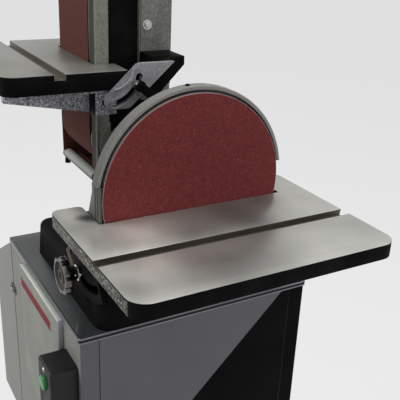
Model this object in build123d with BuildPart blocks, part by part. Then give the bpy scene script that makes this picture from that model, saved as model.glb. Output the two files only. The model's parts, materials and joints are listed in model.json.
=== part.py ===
from build123d import *
import os
from math import atan2, cos, degrees, hypot, pi, radians, sin, tan

# Belt and disc finishing sander on a closed stand.
# Millimetres. +X runs along the arbor towards the sanding disc, -Y is the operator's side of the belt,
# +Z is up. The origin is on the floor, at the centre of the stand's bolt holes.

# Stand
stand_width = 382.0
stand_depth = 416.0
stand_height = 805.0
sheet = 2.0
floor_sheet = 3.0
seam = 0.3
stand_corner = 5.0
lip = 9.0
groove_in = 4.0
groove_width = 1.6
groove_deep = 0.8
corner_return = 30.0
floor_bolt_x = 300.0
floor_bolt_y = 340.0
floor_bolt_r = 5.5

# Abrasives
disc_radius = 152.4
disc_paper = 1.2
belt_width = 152.4
belt_length = 1219.2
belt_thick = 1.4

# Arbor and its place over the stand
disc_set_back = 40.0
arbor_rise = 187.0
arbor_r = 12.5
disc_plate_thick = 12.3
disc_hub_r = 32.0
disc_hub_length = 34.0
drum_r = 55.0
drum_wall = 7.0
drum_recess = 66.0
drum_overhang = 3.0
belt_set_back = 300.0
run_gap = 0.3
fit = 0.06

# Base casting
base_length = 313.5
base_over = 22.6
base_height = 62.0
base_ahead = 38.0
base_draft = 4.0
base_corner = 24.0
base_round = 11.0
base_wall = 10.0
lug_half = 16.0
lug_thick = 15.5
well_behind = 26.0
well_ahead = 8.0
well_half = 138.0
well_floor = 22.0
channel_width = 104.0

# Bearing pedestals and drive
pedestal_thick = 34.0
pedestal_foot = 130.0
pedestal_foot_h = 14.0
barrel_r = 42.0
bearing_r = 26.0
bearing_width = 15.0
right_pedestal_back = 84.0
left_pedestal_back = 240.0
boss_r = 36.0
pulley_back = 185.0
driven_pulley_r = 45.0
motor_pulley_r = 58.0
pulley_width = 20.0
v_belt_width = 9.6
v_belt_height = 8.0
groove_depth = 8.3
cover_r = 62.0

# Disc guard and lower housing
guard_gap = 4.1
guard_wall = 6.0
guard_front = 4.0
guard_depth = 18.5
guard_plate = 4.0
guard_end_angle = 10.0
guard_window_r = 64.0
housing_wall = 8.0
housing_r = 108.0
column_wall = 3.6
column_foot = 18.0
column_gap = 1.7
disc_clear = 0.8
column_rib = 1.2

# Disc table
table_drop = 27.0
table_gap = 2.5
table_front = 231.0
table_length = 416.0
table_ear = 73.0
table_clear = 0.5
table_plate = 9.0
table_rim = 23.0
rim_width = 12.0
table_corner = 28.0
ear_corner = 14.0
ear_round = 9.0
end_land = 3.0
end_step = 1.2
slot_width = 19.4
slot_depth = 9.8
slot_centre = 112.5
edge_land = 2.0
trunnion_gap = 1.0
flange_long = 56.0
flange_wide = 22.0
flange_thick = 7.0
trunnion_thick = 6.0
trunnion_r = 112.0
trunnion_slot_r = 91.0
table_down = 45.0
table_up = 20.0
lock_angle = 251.5
stud_r = 6.0
knob_r = 30.0
knob_thick = 10.0
knob_reach = 29.0
washer_thick = 3.0
nut_thick = 5.0

# Belt arm
arm_gap = 5.0
arm_thick = 20.0
arm_half = 55.5
arm_rib = 26.0
arm_recess = 8.0
arm_ring_r = 50.0
arm_below = 58.0
arm_bead = 3.0
clamp_reach = 62.0
arm_ring_width = 26.0
platen_thick = 6.0
platen_length = 300.0
platen_gap = 0.6
carriage_half = 30.0
carriage_high = 64.0
carriage_thick = 22.0
axle_r = 12.0
release = 8.0
spring_r = 14.0
rod_r = 5.0
pin_r = 4.0
guard_back = 92.0
guard_low = 103.0
guard_tail = 27.0

# Belt table
belt_table_rise = 147.0
belt_table_width = 340.0
belt_table_front = 233.0
belt_table_gap = 2.5
belt_table_rim = 32.0
belt_table_plate = 10.0
belt_table_corner = 24.0
belt_slot_centre = 140.0
belt_table_ear = 38.0
ear_land = 25.5
rib_thick = 12.0
rib_drop = 49.0
boss_in = 10.0
foot_boss_r = 8.0
support_flange = 52.0
block_long = 30.0
block_ahead = 16.4
block_behind = 23.0
block_drop = 46.0
quadrant_thick = 11.0
quadrant_lip = 1.5
quadrant_rise = 12.0
quadrant_slot_r = 54.0
lock_bolt_angle = -25.0
lock_bolt_r = 5.0
bracket_thick = 11.0
belt_table_down = 45.0
belt_table_up = 12.0

# Dust handling
box_width = 138.0
box_slope = 31.0
box_low = 380.0
box_back = 150.0
nose_r = 15.0
nose_ahead = 43.5
nose_drop = 69.0
lip_bolt_r = 6.0
lip_bolt_drop = 8.0
cheek_rise = 30.0
scoop_drop = 85.0
scoop_back = 84.0
chute_x = 84.0
chute_in = 62.0
chute_y = 60.0
chute_front = 20.0
belt_port_r = 50.8
disc_port_r = 25.4
port_length = 44.0

# Motor
shelf_z = 480.0
shelf_depth = 240.0
shelf_edge = 30.0
motor_r = 80.0
motor_length = 170.0
motor_foot = 10.0
motor_shaft_r = 9.5

# Front furniture
cover_width = 212.0
cover_height = 250.0
cover_depth = 8.5
cover_corner = 5.0
cover_ease = 1.5
cover_shift = 5.5
cover_below = 3.5
switch_x = 148.0
switch_drop = 115.0
button_r = 12.0
button_travel = 3.0

# Places worked out from the sizes above
disc_x = stand_width / 2 - disc_set_back
arbor_z = stand_height + arbor_rise
table_z = arbor_z - table_drop
base_top = stand_height + base_height
base_depth = 2 * (disc_radius + base_over)
wall_x = stand_width / 2 - sheet - seam
wall_y = stand_depth / 2 - sheet - seam
base_x = disc_x + base_ahead - base_length / 2
pulley_x = disc_x - pulley_back
belt_right = disc_x - belt_set_back
belt_left = belt_right - belt_width
belt_x = (belt_right + belt_left) / 2
drum_right = belt_right + drum_overhang
drum_left = belt_left - drum_overhang
drum_length = drum_right - drum_left
belt_in = drum_r + run_gap
belt_out = belt_in + belt_thick
drum_span = (belt_length - 2 * pi * (belt_in + belt_thick / 2)) / 2
idler_z = arbor_z + drum_span
arm_left = drum_right + arm_gap
arm_right = arm_left + arm_thick
guard_in = disc_radius + guard_gap
guard_out = guard_in + guard_wall
guard_x = disc_x - guard_front - guard_depth
housing_x = guard_x - housing_wall
left_pedestal_x = disc_x - left_pedestal_back
right_pedestal_x = disc_x - right_pedestal_back
tilt_x = disc_x + table_gap
column_half = disc_radius + disc_clear + column_wall
table_notch_half = column_half + column_rib + table_clear
trunnion_in = base_depth / 2 + trunnion_gap
knob_x = tilt_x + trunnion_slot_r * cos(radians(lock_angle))
knob_z = table_z + trunnion_slot_r * sin(radians(lock_angle))
belt_table_z = arbor_z + belt_table_rise
belt_table_y = -(belt_out + belt_table_gap)
belt_table_right = belt_x + belt_table_width / 2
belt_table_left = belt_x - belt_table_width / 2
bolt_y = belt_table_y + quadrant_slot_r * cos(radians(lock_bolt_angle))
bolt_z = belt_table_z + quadrant_slot_r * sin(radians(lock_bolt_angle))
motor_z = shelf_z + sheet + motor_foot + motor_r
scoop_z = arbor_z - scoop_drop
box_top = stand_height - lip - seam
chute_mid = -wall_x - chute_in
cover_z = stand_height - lip - cover_below - cover_height / 2
switch_z = stand_height - switch_drop


def write(builder, node):
    """Label a finished piece and write it."""
    builder.part.label = node
    export_step(builder.part, f"parts/{node}.step")


def across(x):
    """The plane square to the arbor at x, drawn as Y and Z."""
    return Plane.YZ.offset(x)


def along(y):
    """The upright plane at y, drawn as X and Z, facing -Y."""
    return Plane.XZ.offset(-y)


def level(z):
    """The level plane at z."""
    return Plane.XY.offset(z)


# Floor pan, with its turned-up lip and four holes for floor bolts
with BuildPart() as floor_pan:
    with BuildSketch(level(0)):
        RectangleRounded(stand_width, stand_depth, stand_corner)
    extrude(amount=floor_sheet + lip)
    with BuildSketch(level(floor_sheet)):
        RectangleRounded(stand_width - 2 * sheet, stand_depth - 2 * sheet, stand_corner - sheet)
    extrude(amount=lip, mode=Mode.SUBTRACT)
    with BuildSketch(level(0)):
        with GridLocations(floor_bolt_x, floor_bolt_y, 2, 2):
            Circle(floor_bolt_r)
    extrude(amount=floor_sheet, mode=Mode.SUBTRACT)
write(floor_pan, "floor_pan")

# Top pan, with its folded lip and the slot that the V-belt passes through
with BuildPart() as top_pan:
    with BuildSketch(level(stand_height - lip)):
        RectangleRounded(stand_width, stand_depth, stand_corner)
    extrude(amount=lip)
    fillet(top_pan.faces().sort_by(Axis.Z)[-1].edges(), sheet * 0.9)
    with BuildSketch(level(stand_height - lip)):
        RectangleRounded(stand_width - 2 * sheet, stand_depth - 2 * sheet, stand_corner - sheet)
    extrude(amount=lip - sheet, mode=Mode.SUBTRACT)
    with BuildSketch(level(stand_height - sheet)):
        with Locations((pulley_x, 0)):
            Rectangle(2 * pulley_width, 2 * motor_pulley_r + 4 * v_belt_height)
    extrude(amount=sheet, mode=Mode.SUBTRACT)
    # Shallow groove along the front and back edges
    with BuildSketch(level(stand_height)):
        with GridLocations(0, stand_depth - 2 * groove_in, 1, 2):
            Rectangle(stand_width - 2 * corner_return, groove_width)
    extrude(amount=-groove_deep, mode=Mode.SUBTRACT)
write(top_pan, "top_pan")

# Front and back panels, each with its corners folded round to the sides
panel_corner = stand_corner - sheet - seam
panel_height = stand_height - sheet - floor_sheet
for panel_name, face in (("front_panel", -1), ("back_panel", 1)):
    with BuildPart() as panel:
        with BuildSketch(level(floor_sheet)):
            RectangleRounded(2 * wall_x, 2 * wall_y, panel_corner)
            RectangleRounded(
                2 * (wall_x - sheet), 2 * (wall_y - sheet), panel_corner - sheet, mode=Mode.SUBTRACT
            )
            with Locations((0, face * (wall_y - corner_return / 2))):
                Rectangle(2 * wall_x, corner_return, mode=Mode.INTERSECT)
        extrude(amount=panel_height)
        if face > 0:
            # Cooling louvres behind the motor
            with BuildSketch(along(wall_y)):
                with Locations((0, motor_z)):
                    with GridLocations(0, 26.0, 1, 7):
                        SlotOverall(130.0, 7.0)
            extrude(amount=sheet, mode=Mode.SUBTRACT)
    write(panel, panel_name)

# Side panels
for panel_name, side in (("right_panel", 1), ("left_panel", -1)):
    with BuildPart() as side_panel:
        with BuildSketch(level(floor_sheet)):
            with Locations((side * (wall_x - sheet / 2), 0)):
                Rectangle(sheet, 2 * (wall_y - corner_return - seam))
        extrude(amount=panel_height)
    write(side_panel, panel_name)

# Raised front cover: a shallow pressed tray on the front panel
with BuildPart() as front_cover:
    with BuildSketch(along(-wall_y)):
        with Locations((cover_shift, cover_z)):
            RectangleRounded(cover_width, cover_height, cover_corner)
    extrude(amount=cover_depth)
    fillet(front_cover.faces().sort_by(Axis.Y)[0].edges(), cover_ease)
    with BuildSketch(along(-wall_y)):
        with Locations((cover_shift, cover_z)):
            RectangleRounded(cover_width - 2 * sheet, cover_height - 2 * sheet, cover_corner - sheet)
    extrude(amount=cover_depth - sheet, mode=Mode.SUBTRACT)
write(front_cover, "front_cover")

# Dust box beside the stand, flush with its front, under the belt
box_left = -wall_x - box_width
with BuildPart() as dust_box:
    with BuildSketch(along(-wall_y)) as box_front:
        with BuildLine():
            Polyline(
                (-wall_x, box_low),
                (-wall_x, box_top),
                (box_left, box_top - box_width * tan(radians(box_slope))),
                (box_left, box_low),
                close=True,
            )
        make_face()
    extrude(amount=-(wall_y + box_back))
    with BuildSketch(along(-wall_y + sheet)):
        add(box_front.sketch)
        offset(amount=-sheet, mode=Mode.REPLACE)
    extrude(amount=-(wall_y + box_back - 2 * sheet), mode=Mode.SUBTRACT)
    with BuildSketch(level(box_low + 2 * sheet)):
        with Locations((chute_mid, chute_front + chute_y / 2)):
            Rectangle(chute_x - 2 * sheet, chute_y - 2 * sheet)
    extrude(amount=box_top, mode=Mode.SUBTRACT)
    with BuildSketch(across(box_left)):
        with Locations((0, box_low + 1.6 * belt_port_r)):
            Circle(belt_port_r - sheet)
    extrude(amount=sheet, mode=Mode.SUBTRACT)
write(dust_box, "dust_box")

# Round spigot for a dust hose on the box
with BuildPart() as belt_dust_port:
    with BuildSketch(across(box_left)):
        with Locations((0, box_low + 1.6 * belt_port_r)):
            Circle(belt_port_r)
            Circle(belt_port_r - sheet, mode=Mode.SUBTRACT)
    extrude(amount=-port_length)
write(belt_dust_port, "belt_dust_port")

# Clip across the seam between the front panel and the dust box
with BuildPart() as seam_clip:
    with BuildSketch(along(-wall_y)):
        with Locations((-wall_x, stand_height - 111.0)):
            RectangleRounded(30.0, 16.0, 3.0)
    extrude(amount=sheet)
    with BuildSketch(along(-wall_y - sheet)):
        with Locations((-wall_x, stand_height - 111.0)):
            with GridLocations(16.0, 0, 2, 1):
                Circle(4.0)
    extrude(amount=2.5)
write(seam_clip, "seam_clip")

# Base casting: a drafted plinth with a well for the lower half of the disc. Below it is hollow: a chamber
# for the V-belt, and a dust channel from the well to the port at the back
well_left = disc_x - well_behind
channel_right = well_left - base_wall
channel_left = channel_right - channel_width
chamber_right = channel_left - base_wall
chamber_left = base_x - base_length / 2 + base_wall
port_x = channel_left + disc_port_r + base_wall
port_z = stand_height + base_height / 2
window_height = base_height - well_floor - 1.4 * base_wall
with BuildPart() as base_casting:
    with BuildSketch(level(stand_height)):
        with Locations((base_x, 0)):
            RectangleRounded(base_length, base_depth, base_corner)
    extrude(amount=base_height, taper=base_draft)
    fillet(base_casting.faces().sort_by(Axis.Z)[-1].edges(), base_round)
    with BuildSketch(level(stand_height)):
        for pocket_left, pocket_right in ((chamber_left, chamber_right), (channel_left, channel_right)):
            with Locations(((pocket_left + pocket_right) / 2, 0)):
                Rectangle(pocket_right - pocket_left, base_depth - 2 * base_wall - base_corner)
    extrude(amount=base_height - base_wall, taper=base_draft, mode=Mode.SUBTRACT)
    with BuildSketch(level(stand_height + well_floor)):
        with Locations((disc_x + (well_ahead - well_behind) / 2, 0)):
            Rectangle(well_ahead + well_behind, 2 * well_half)
    extrude(amount=base_height, mode=Mode.SUBTRACT)
    with BuildSketch(across(well_left)):
        with Locations((0, stand_height + well_floor + window_height / 2)):
            Rectangle(1.4 * well_half, window_height)
    extrude(amount=-1.4 * base_wall, mode=Mode.SUBTRACT)
    with BuildSketch(level(stand_height)):
        with Locations((pulley_x, 0)):
            Rectangle(2 * pulley_width, 2 * motor_pulley_r + 2 * v_belt_height)
    extrude(amount=base_height, mode=Mode.SUBTRACT)
    # A lug at each end of the base, which the stud of the table's lock knob screws into
    lug_foot = stand_height + base_height / 2
    for end in (-1, 1):
        with BuildSketch(along(end * (trunnion_in - run_gap))):
            with Locations((knob_x, knob_z)):
                Circle(lug_half)
            with Locations((knob_x, (knob_z + lug_foot) / 2)):
                Rectangle(2 * lug_half, knob_z - lug_foot)
        extrude(amount=end * lug_thick)
        with BuildSketch(along(end * (trunnion_in - run_gap))):
            with Locations((knob_x, knob_z)):
                Circle(stud_r + fit)
        extrude(amount=end * lug_thick, mode=Mode.SUBTRACT)
    with BuildSketch(along(0)):
        with Locations((port_x, port_z)):
            Circle(disc_port_r - 0.5)
    extrude(amount=-base_depth / 2, mode=Mode.SUBTRACT)
write(base_casting, "base_casting")

# Dust spigot at the back of the base
port_face = base_depth / 2
port_seat = base_depth / 2 - 2.0 * base_wall
with BuildPart() as disc_dust_port:
    with BuildSketch(along(port_face)):
        with Locations((port_x, port_z)):
            Circle(disc_port_r)
    extrude(amount=-port_length)
    with BuildSketch(along(port_face)):
        with Locations((port_x, port_z)):
            Circle(disc_port_r - 0.5)
    extrude(amount=port_face - port_seat)
    with BuildSketch(along(port_seat)):
        with Locations((port_x, port_z)):
            Circle(disc_port_r - 0.5 - sheet)
    extrude(amount=-base_depth, mode=Mode.SUBTRACT)
write(disc_dust_port, "disc_dust_port")


def pedestal_profile(foot_z):
    """Draw a bearing pedestal from its foot up to the barrel round the arbor."""
    tangent = barrel_r * 0.94
    Polygon(
        (-pedestal_foot / 2, foot_z),
        (pedestal_foot / 2, foot_z),
        (pedestal_foot / 2, foot_z + pedestal_foot_h),
        (tangent, arbor_z - barrel_r * 0.3),
        (-tangent, arbor_z - barrel_r * 0.3),
        (-pedestal_foot / 2, foot_z + pedestal_foot_h),
        align=None,
    )
    with Locations((0, arbor_z)):
        Circle(barrel_r)


# Right-hand bearing pedestal, behind the disc
with BuildPart() as right_pedestal:
    with BuildSketch(across(right_pedestal_x)):
        pedestal_profile(base_top)
    extrude(amount=pedestal_thick)
    with BuildSketch(across(right_pedestal_x)):
        with Locations((0, arbor_z)):
            Circle(arbor_r + 4.0)
    extrude(amount=pedestal_thick, mode=Mode.SUBTRACT)
    with BuildSketch(across(right_pedestal_x + pedestal_thick)):
        with Locations((0, arbor_z)):
            Circle(bearing_r)
    extrude(amount=-bearing_width, mode=Mode.SUBTRACT)
write(right_pedestal, "right_pedestal")

# Left-hand pedestal, with the round boss that the belt arm swings on
boss_left = arm_left + 2.0
with BuildPart() as left_pedestal:
    with BuildSketch(across(left_pedestal_x)):
        pedestal_profile(base_top)
    extrude(amount=pedestal_thick)
    with BuildSketch(across(boss_left)):
        with Locations((0, arbor_z)):
            Circle(boss_r)
    extrude(amount=left_pedestal_x - boss_left)
    with BuildSketch(across(boss_left)):
        with Locations((0, arbor_z)):
            Circle(arbor_r + 4.0)
    extrude(amount=left_pedestal_x + pedestal_thick - boss_left, mode=Mode.SUBTRACT)
    with BuildSketch(across(boss_left)):
        with Locations((0, arbor_z)):
            Circle(bearing_r)
    extrude(amount=bearing_width, mode=Mode.SUBTRACT)
write(left_pedestal, "left_pedestal")

# Arbor bearings, one in each pedestal
with BuildPart() as arbor_bearings:
    for bearing_x in (right_pedestal_x + pedestal_thick - bearing_width, boss_left):
        with BuildSketch(across(bearing_x)):
            with Locations((0, arbor_z)):
                Circle(bearing_r)
                Circle(arbor_r + fit, mode=Mode.SUBTRACT)
        extrude(amount=bearing_width)
write(arbor_bearings, "arbor_bearings")

# Arched cover over the driven pulley, between the pedestals
cover_left = left_pedestal_x + pedestal_thick + run_gap
cover_right = right_pedestal_x - run_gap
with BuildPart() as pulley_cover:
    with BuildSketch(across(cover_left)):
        with Locations((0, arbor_z)):
            Circle(cover_r + sheet)
        with Locations((0, (arbor_z + base_top) / 2)):
            Rectangle(2 * (cover_r + sheet), arbor_z - base_top)
        with Locations((0, base_top - cover_r)):
            Rectangle(3 * cover_r, 2 * cover_r, mode=Mode.SUBTRACT)
        with Locations((0, arbor_z)):
            Circle(cover_r, mode=Mode.SUBTRACT)
        with Locations((0, (arbor_z + base_top) / 2)):
            Rectangle(2 * cover_r, arbor_z - base_top, mode=Mode.SUBTRACT)
    extrude(amount=cover_right - cover_left)
write(pulley_cover, "pulley_cover")

# Arbor shaft, from the disc to the far end of the drive drum
shaft_right = disc_x - disc_paper - disc_plate_thick / 2
with BuildPart() as arbor_shaft:
    with BuildSketch(across(drum_left)):
        with Locations((0, arbor_z)):
            Circle(arbor_r)
    extrude(amount=shaft_right - drum_left)
write(arbor_shaft, "arbor_shaft")

# Cast disc plate with its hub
plate_back = disc_x - disc_paper - disc_plate_thick
with BuildPart() as disc_plate:
    with BuildSketch(across(plate_back)):
        with Locations((0, arbor_z)):
            Circle(disc_radius)
    extrude(amount=disc_plate_thick)
    with BuildSketch(across(plate_back)):
        with Locations((0, arbor_z)):
            Circle(disc_hub_r)
    extrude(amount=-disc_hub_length)
    with BuildSketch(across(plate_back - disc_hub_length)):
        with Locations((0, arbor_z)):
            Circle(arbor_r)
    extrude(amount=shaft_right - plate_back + disc_hub_length, mode=Mode.SUBTRACT)
write(disc_plate, "disc_plate")

# Abrasive disc, stuck to the plate
with BuildPart() as abrasive_disc:
    with BuildSketch(across(disc_x - disc_paper)):
        with Locations((0, arbor_z)):
            Circle(disc_radius)
    extrude(amount=disc_paper)
write(abrasive_disc, "abrasive_disc")


def turned_drum(centre_z, bore):
    """Turn a hollow belt drum with a web inside, on the X axis through centre_z."""
    with BuildPart() as drum:
        with BuildSketch(across(drum_left)):
            with Locations((0, centre_z)):
                Circle(drum_r)
                Circle(bore, mode=Mode.SUBTRACT)
        extrude(amount=drum_length)
        for end_x, way in ((drum_left, 1), (drum_right, -1)):
            with BuildSketch(across(end_x)):
                with Locations((0, centre_z)):
                    Circle(drum_r - drum_wall)
                    Circle(bore + drum_wall, mode=Mode.SUBTRACT)
            extrude(amount=way * drum_recess, mode=Mode.SUBTRACT)
    return drum


# Drive drum, keyed to the arbor
drive_drum = turned_drum(arbor_z, arbor_r)
write(drive_drum, "drive_drum")


def turned_pulley(centre_z, radius, bore):
    """Turn a V-groove pulley on the X axis through centre_z."""
    half = pulley_width / 2
    root = radius - groove_depth
    with BuildPart() as pulley:
        with BuildSketch(Plane.XZ):
            with BuildLine():
                Polyline(
                    (pulley_x - half, centre_z + bore),
                    (pulley_x - half, centre_z + radius),
                    (pulley_x - half * 0.8, centre_z + radius),
                    (pulley_x - half * 0.5, centre_z + root),
                    (pulley_x + half * 0.5, centre_z + root),
                    (pulley_x + half * 0.8, centre_z + radius),
                    (pulley_x + half, centre_z + radius),
                    (pulley_x + half, centre_z + bore),
                    close=True,
                )
            make_face()
        revolve(axis=Axis((pulley_x, 0, centre_z), (1, 0, 0)))
    return pulley


# Driven pulley on the arbor and drive pulley on the motor
driven_pulley = turned_pulley(arbor_z, driven_pulley_r, arbor_r)
write(driven_pulley, "driven_pulley")

motor_pulley = turned_pulley(motor_z, motor_pulley_r, motor_shaft_r)
write(motor_pulley, "motor_pulley")

# V-belt, taut round both pulleys in their grooves
with BuildPart() as v_belt:
    with BuildSketch(across(pulley_x - v_belt_width / 2)):
        with BuildLine():
            CenterArc((0, arbor_z), driven_pulley_r, 0, 360)
            CenterArc((0, motor_z), motor_pulley_r, 0, 360)
        make_hull()
    extrude(amount=v_belt_width)
    with BuildSketch(across(pulley_x - v_belt_width / 2)):
        with BuildLine():
            CenterArc((0, arbor_z), driven_pulley_r - v_belt_height, 0, 360)
            CenterArc((0, motor_z), motor_pulley_r - v_belt_height, 0, 360)
        make_hull()
    extrude(amount=v_belt_width, mode=Mode.SUBTRACT)
write(v_belt, "v_belt")

# Motor shelf across the stand
with BuildPart() as motor_shelf:
    with BuildSketch(level(shelf_z)):
        Rectangle(2 * (wall_x - sheet), shelf_depth)
    extrude(amount=sheet)
    with BuildSketch(level(shelf_z)):
        with GridLocations(0, shelf_depth - sheet, 1, 2):
            Rectangle(2 * (wall_x - sheet), sheet)
    extrude(amount=-shelf_edge)
write(motor_shelf, "motor_shelf")

# Motor: ribbed body, end bells, feet and terminal box
motor_left = pulley_x + pulley_width / 2 + 12.0
with BuildPart() as motor:
    with BuildSketch(across(motor_left)):
        with Locations((0, motor_z)):
            Circle(motor_r - 6.0)
            with PolarLocations(motor_r - 7.0, 24):
                Rectangle(8.0, 3.0)
    extrude(amount=motor_length)
    for bell_x, way in ((motor_left, 1), (motor_left + motor_length, -1)):
        with BuildSketch(across(bell_x)):
            with Locations((0, motor_z)):
                Circle(motor_r - 2.0)
        extrude(amount=way * 26.0)
    with BuildSketch(level(shelf_z + sheet)):
        with Locations((motor_left + motor_length / 2, 0)):
            Rectangle(motor_length * 0.7, 130.0)
    extrude(amount=motor_foot)
    with BuildSketch(level(shelf_z + sheet)):
        with Locations((motor_left + motor_length / 2, 0)):
            Rectangle(motor_length * 0.5, 90.0)
    extrude(amount=motor_foot + motor_r * 0.5)
    with BuildSketch(level(motor_z)):
        with Locations((motor_left + motor_length / 2, 0)):
            RectangleRounded(80.0, 60.0, 6.0)
    extrude(amount=motor_r + 24.0)
    with BuildSketch(across(motor_left)):
        with Locations((0, motor_z)):
            Circle(motor_shaft_r + fit)
    extrude(amount=40.0, mode=Mode.SUBTRACT)
write(motor, "motor")

with BuildPart() as motor_shaft:
    with BuildSketch(across(pulley_x - pulley_width / 2)):
        with Locations((0, motor_z)):
            Circle(motor_shaft_r)
    extrude(amount=motor_left + 36.0 - pulley_x + pulley_width / 2)
write(motor_shaft, "motor_shaft")

# Lower disc housing: back wall on the base and a tapered column at each side of the disc
column_top = arbor_z + table_drop
column_right = disc_x - column_gap / 2
with BuildPart() as disc_housing:
    with BuildSketch(across(housing_x)):
        with Locations((0, (base_top + column_top) / 2)):
            Rectangle(2 * column_half, column_top - base_top)
        with Locations((0, arbor_z)):
            Circle(housing_r)
        with Locations((0, base_top - housing_r)):
            Rectangle(4 * housing_r, 2 * housing_r, mode=Mode.SUBTRACT)
        with Locations((0, arbor_z)):
            Circle(disc_hub_r + 4.0, mode=Mode.SUBTRACT)
    extrude(amount=housing_wall)
    for side in (-1, 1):
        with BuildSketch(along(side * column_half)):
            with BuildLine():
                Polyline(
                    (column_right, column_top),
                    (guard_x - column_gap, column_top),
                    (housing_x - column_foot, table_z - column_wall),
                    (housing_x - column_foot, base_top),
                    (column_right, base_top),
                    close=True,
                )
            make_face()
        extrude(amount=side * column_wall)
        # Two upright ribs on the column's outer face, inside the table's notch
        with BuildSketch(along(side * column_half)):
            with Locations((guard_x + guard_depth / 2, (column_top + base_top) / 2)):
                with GridLocations(guard_depth / 2, 0, 2, 1):
                    Rectangle(2 * column_rib, column_top - base_top)
        extrude(amount=-side * column_rib)
write(disc_housing, "disc_housing")

# Disc guard: a shallow dish over the upper half of the disc
with BuildPart() as disc_guard:
    with BuildSketch(across(guard_x)):
        with Locations((0, arbor_z)):
            Circle(guard_out)
            Circle(guard_window_r, mode=Mode.SUBTRACT)
        with Locations((0, arbor_z - guard_out + guard_in * sin(radians(guard_end_angle)))):
            Rectangle(4 * guard_out, 2 * guard_out, mode=Mode.SUBTRACT)
    extrude(amount=guard_depth)
    with BuildSketch(across(guard_x + guard_plate)):
        with Locations((0, arbor_z)):
            Circle(guard_in)
    extrude(amount=guard_depth, mode=Mode.SUBTRACT)
    rim_edges = disc_guard.edges().filter_by(GeomType.CIRCLE).filter_by(
        lambda edge: abs(edge.radius - guard_out) < 0.01
    )
    fillet(rim_edges, guard_wall * 0.35)
    with BuildSketch(level(arbor_z + guard_in - 1.0)):
        with Locations((guard_x + guard_depth / 2, 14.0)):
            Circle(2.5)
    extrude(amount=guard_wall + 4.0, mode=Mode.SUBTRACT)
write(disc_guard, "disc_guard")

# Bolts that hold the guard's back to the housing wall, heads at the rear
with BuildPart() as guard_bolts:
    for angle in (35.0, 75.0, 105.0, 145.0):
        bolt_at = (86.0 * cos(radians(angle)), arbor_z + 86.0 * sin(radians(angle)))
        with BuildSketch(across(housing_x)):
            with Locations(bolt_at):
                RegularPolygon(7.0, 6)
        extrude(amount=-5.5)
write(guard_bolts, "guard_bolts")

# Disc table: ground plate with a rim, a mitre slot and an ear at each side of the disc
with BuildPart() as disc_table:
    with BuildSketch(level(table_z)) as table_plan:
        with Locations((disc_x + (table_front - table_ear) / 2, 0)):
            Rectangle(table_front + table_ear, table_length)
        fillet(table_plan.vertices().group_by(Axis.X)[-1], table_corner)
        fillet(table_plan.vertices().group_by(Axis.X)[0], ear_corner)
        with Locations((tilt_x - (table_ear + table_gap) / 2 - 10.0, 0)):
            Rectangle(table_ear + table_gap + 20.0, 2 * table_notch_half, mode=Mode.SUBTRACT)
        ear_x = disc_x - table_ear
        ear_tips = table_plan.vertices().filter_by(
            lambda tip: abs(abs(tip.Y) - table_notch_half) < 0.1 and abs(tip.X - ear_x) < 0.1
        )
        fillet(ear_tips, ear_round)
    extrude(amount=-table_rim)
    # The cast ends stand back a little under the ground top
    with BuildSketch(level(table_z - end_land)):
        with Locations((disc_x + (table_front - table_ear) / 2, 0)):
            with GridLocations(0, table_length - end_step, 1, 2):
                Rectangle(table_front + table_ear, end_step)
    extrude(amount=-table_rim, mode=Mode.SUBTRACT)
    slot_left = disc_x + slot_centre - slot_width / 2 - rim_width
    slot_right = disc_x + slot_centre + slot_width / 2 + rim_width
    front_in = disc_x + table_front - rim_width
    notch_in = tilt_x + table_rim + rim_width
    pocket_half = trunnion_in - rim_width
    with BuildSketch(level(table_z - table_rim)):
        for pocket_left, pocket_right in ((notch_in, slot_left), (slot_right, front_in)):
            for half in (-1, 1):
                with Locations(((pocket_left + pocket_right) / 2, half * (pocket_half + rim_width) / 2)):
                    RectangleRounded(pocket_right - pocket_left, pocket_half - rim_width, 8.0)
    extrude(amount=table_rim - table_plate, mode=Mode.SUBTRACT)
    with BuildSketch(along(-table_notch_half)):
        with BuildLine():
            Polyline(
                (tilt_x, table_z - edge_land),
                (tilt_x + table_rim - edge_land, table_z - table_rim),
                (tilt_x, table_z - table_rim),
                close=True,
            )
        make_face()
    extrude(amount=-2 * table_notch_half, mode=Mode.SUBTRACT)
    with BuildSketch(level(table_z - slot_depth)):
        with Locations((disc_x + slot_centre, 0)):
            Rectangle(slot_width, table_length)
    extrude(amount=slot_depth, mode=Mode.SUBTRACT)
write(disc_table, "disc_table")

# Trunnions under the disc table: a quadrant with a curved slot and a flange
slot_from = lock_angle - table_up - 3.0
slot_sweep = table_up + table_down + 6.0
quad_from = slot_from - 8.0
quad_to = slot_from + slot_sweep + 8.0
flange_z = table_z - table_rim
slot_path = CenterArc((tilt_x, table_z), trunnion_slot_r, slot_from, slot_sweep)
for trunnion_name, end in (("left_trunnion", -1), ("right_trunnion", 1)):
    with BuildPart() as trunnion:
        with BuildSketch(along(end * trunnion_in)):
            with BuildLine():
                arc = CenterArc((tilt_x, table_z), trunnion_r, quad_from, quad_to - quad_from)
                Polyline(arc @ 0, (tilt_x, table_z), arc @ 1)
            make_face()
            with Locations((tilt_x, table_z)):
                Rectangle(3 * trunnion_r, 2 * table_rim, mode=Mode.SUBTRACT)
            SlotArc(slot_path, 2 * stud_r + 1.0, mode=Mode.SUBTRACT)
        extrude(amount=-end * trunnion_thick)
        with BuildSketch(level(flange_z)):
            with Locations((tilt_x, end * (trunnion_in + trunnion_thick / 2))):
                Rectangle(flange_long, flange_wide)
        extrude(amount=-flange_thick)
    write(trunnion, trunnion_name)


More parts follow.
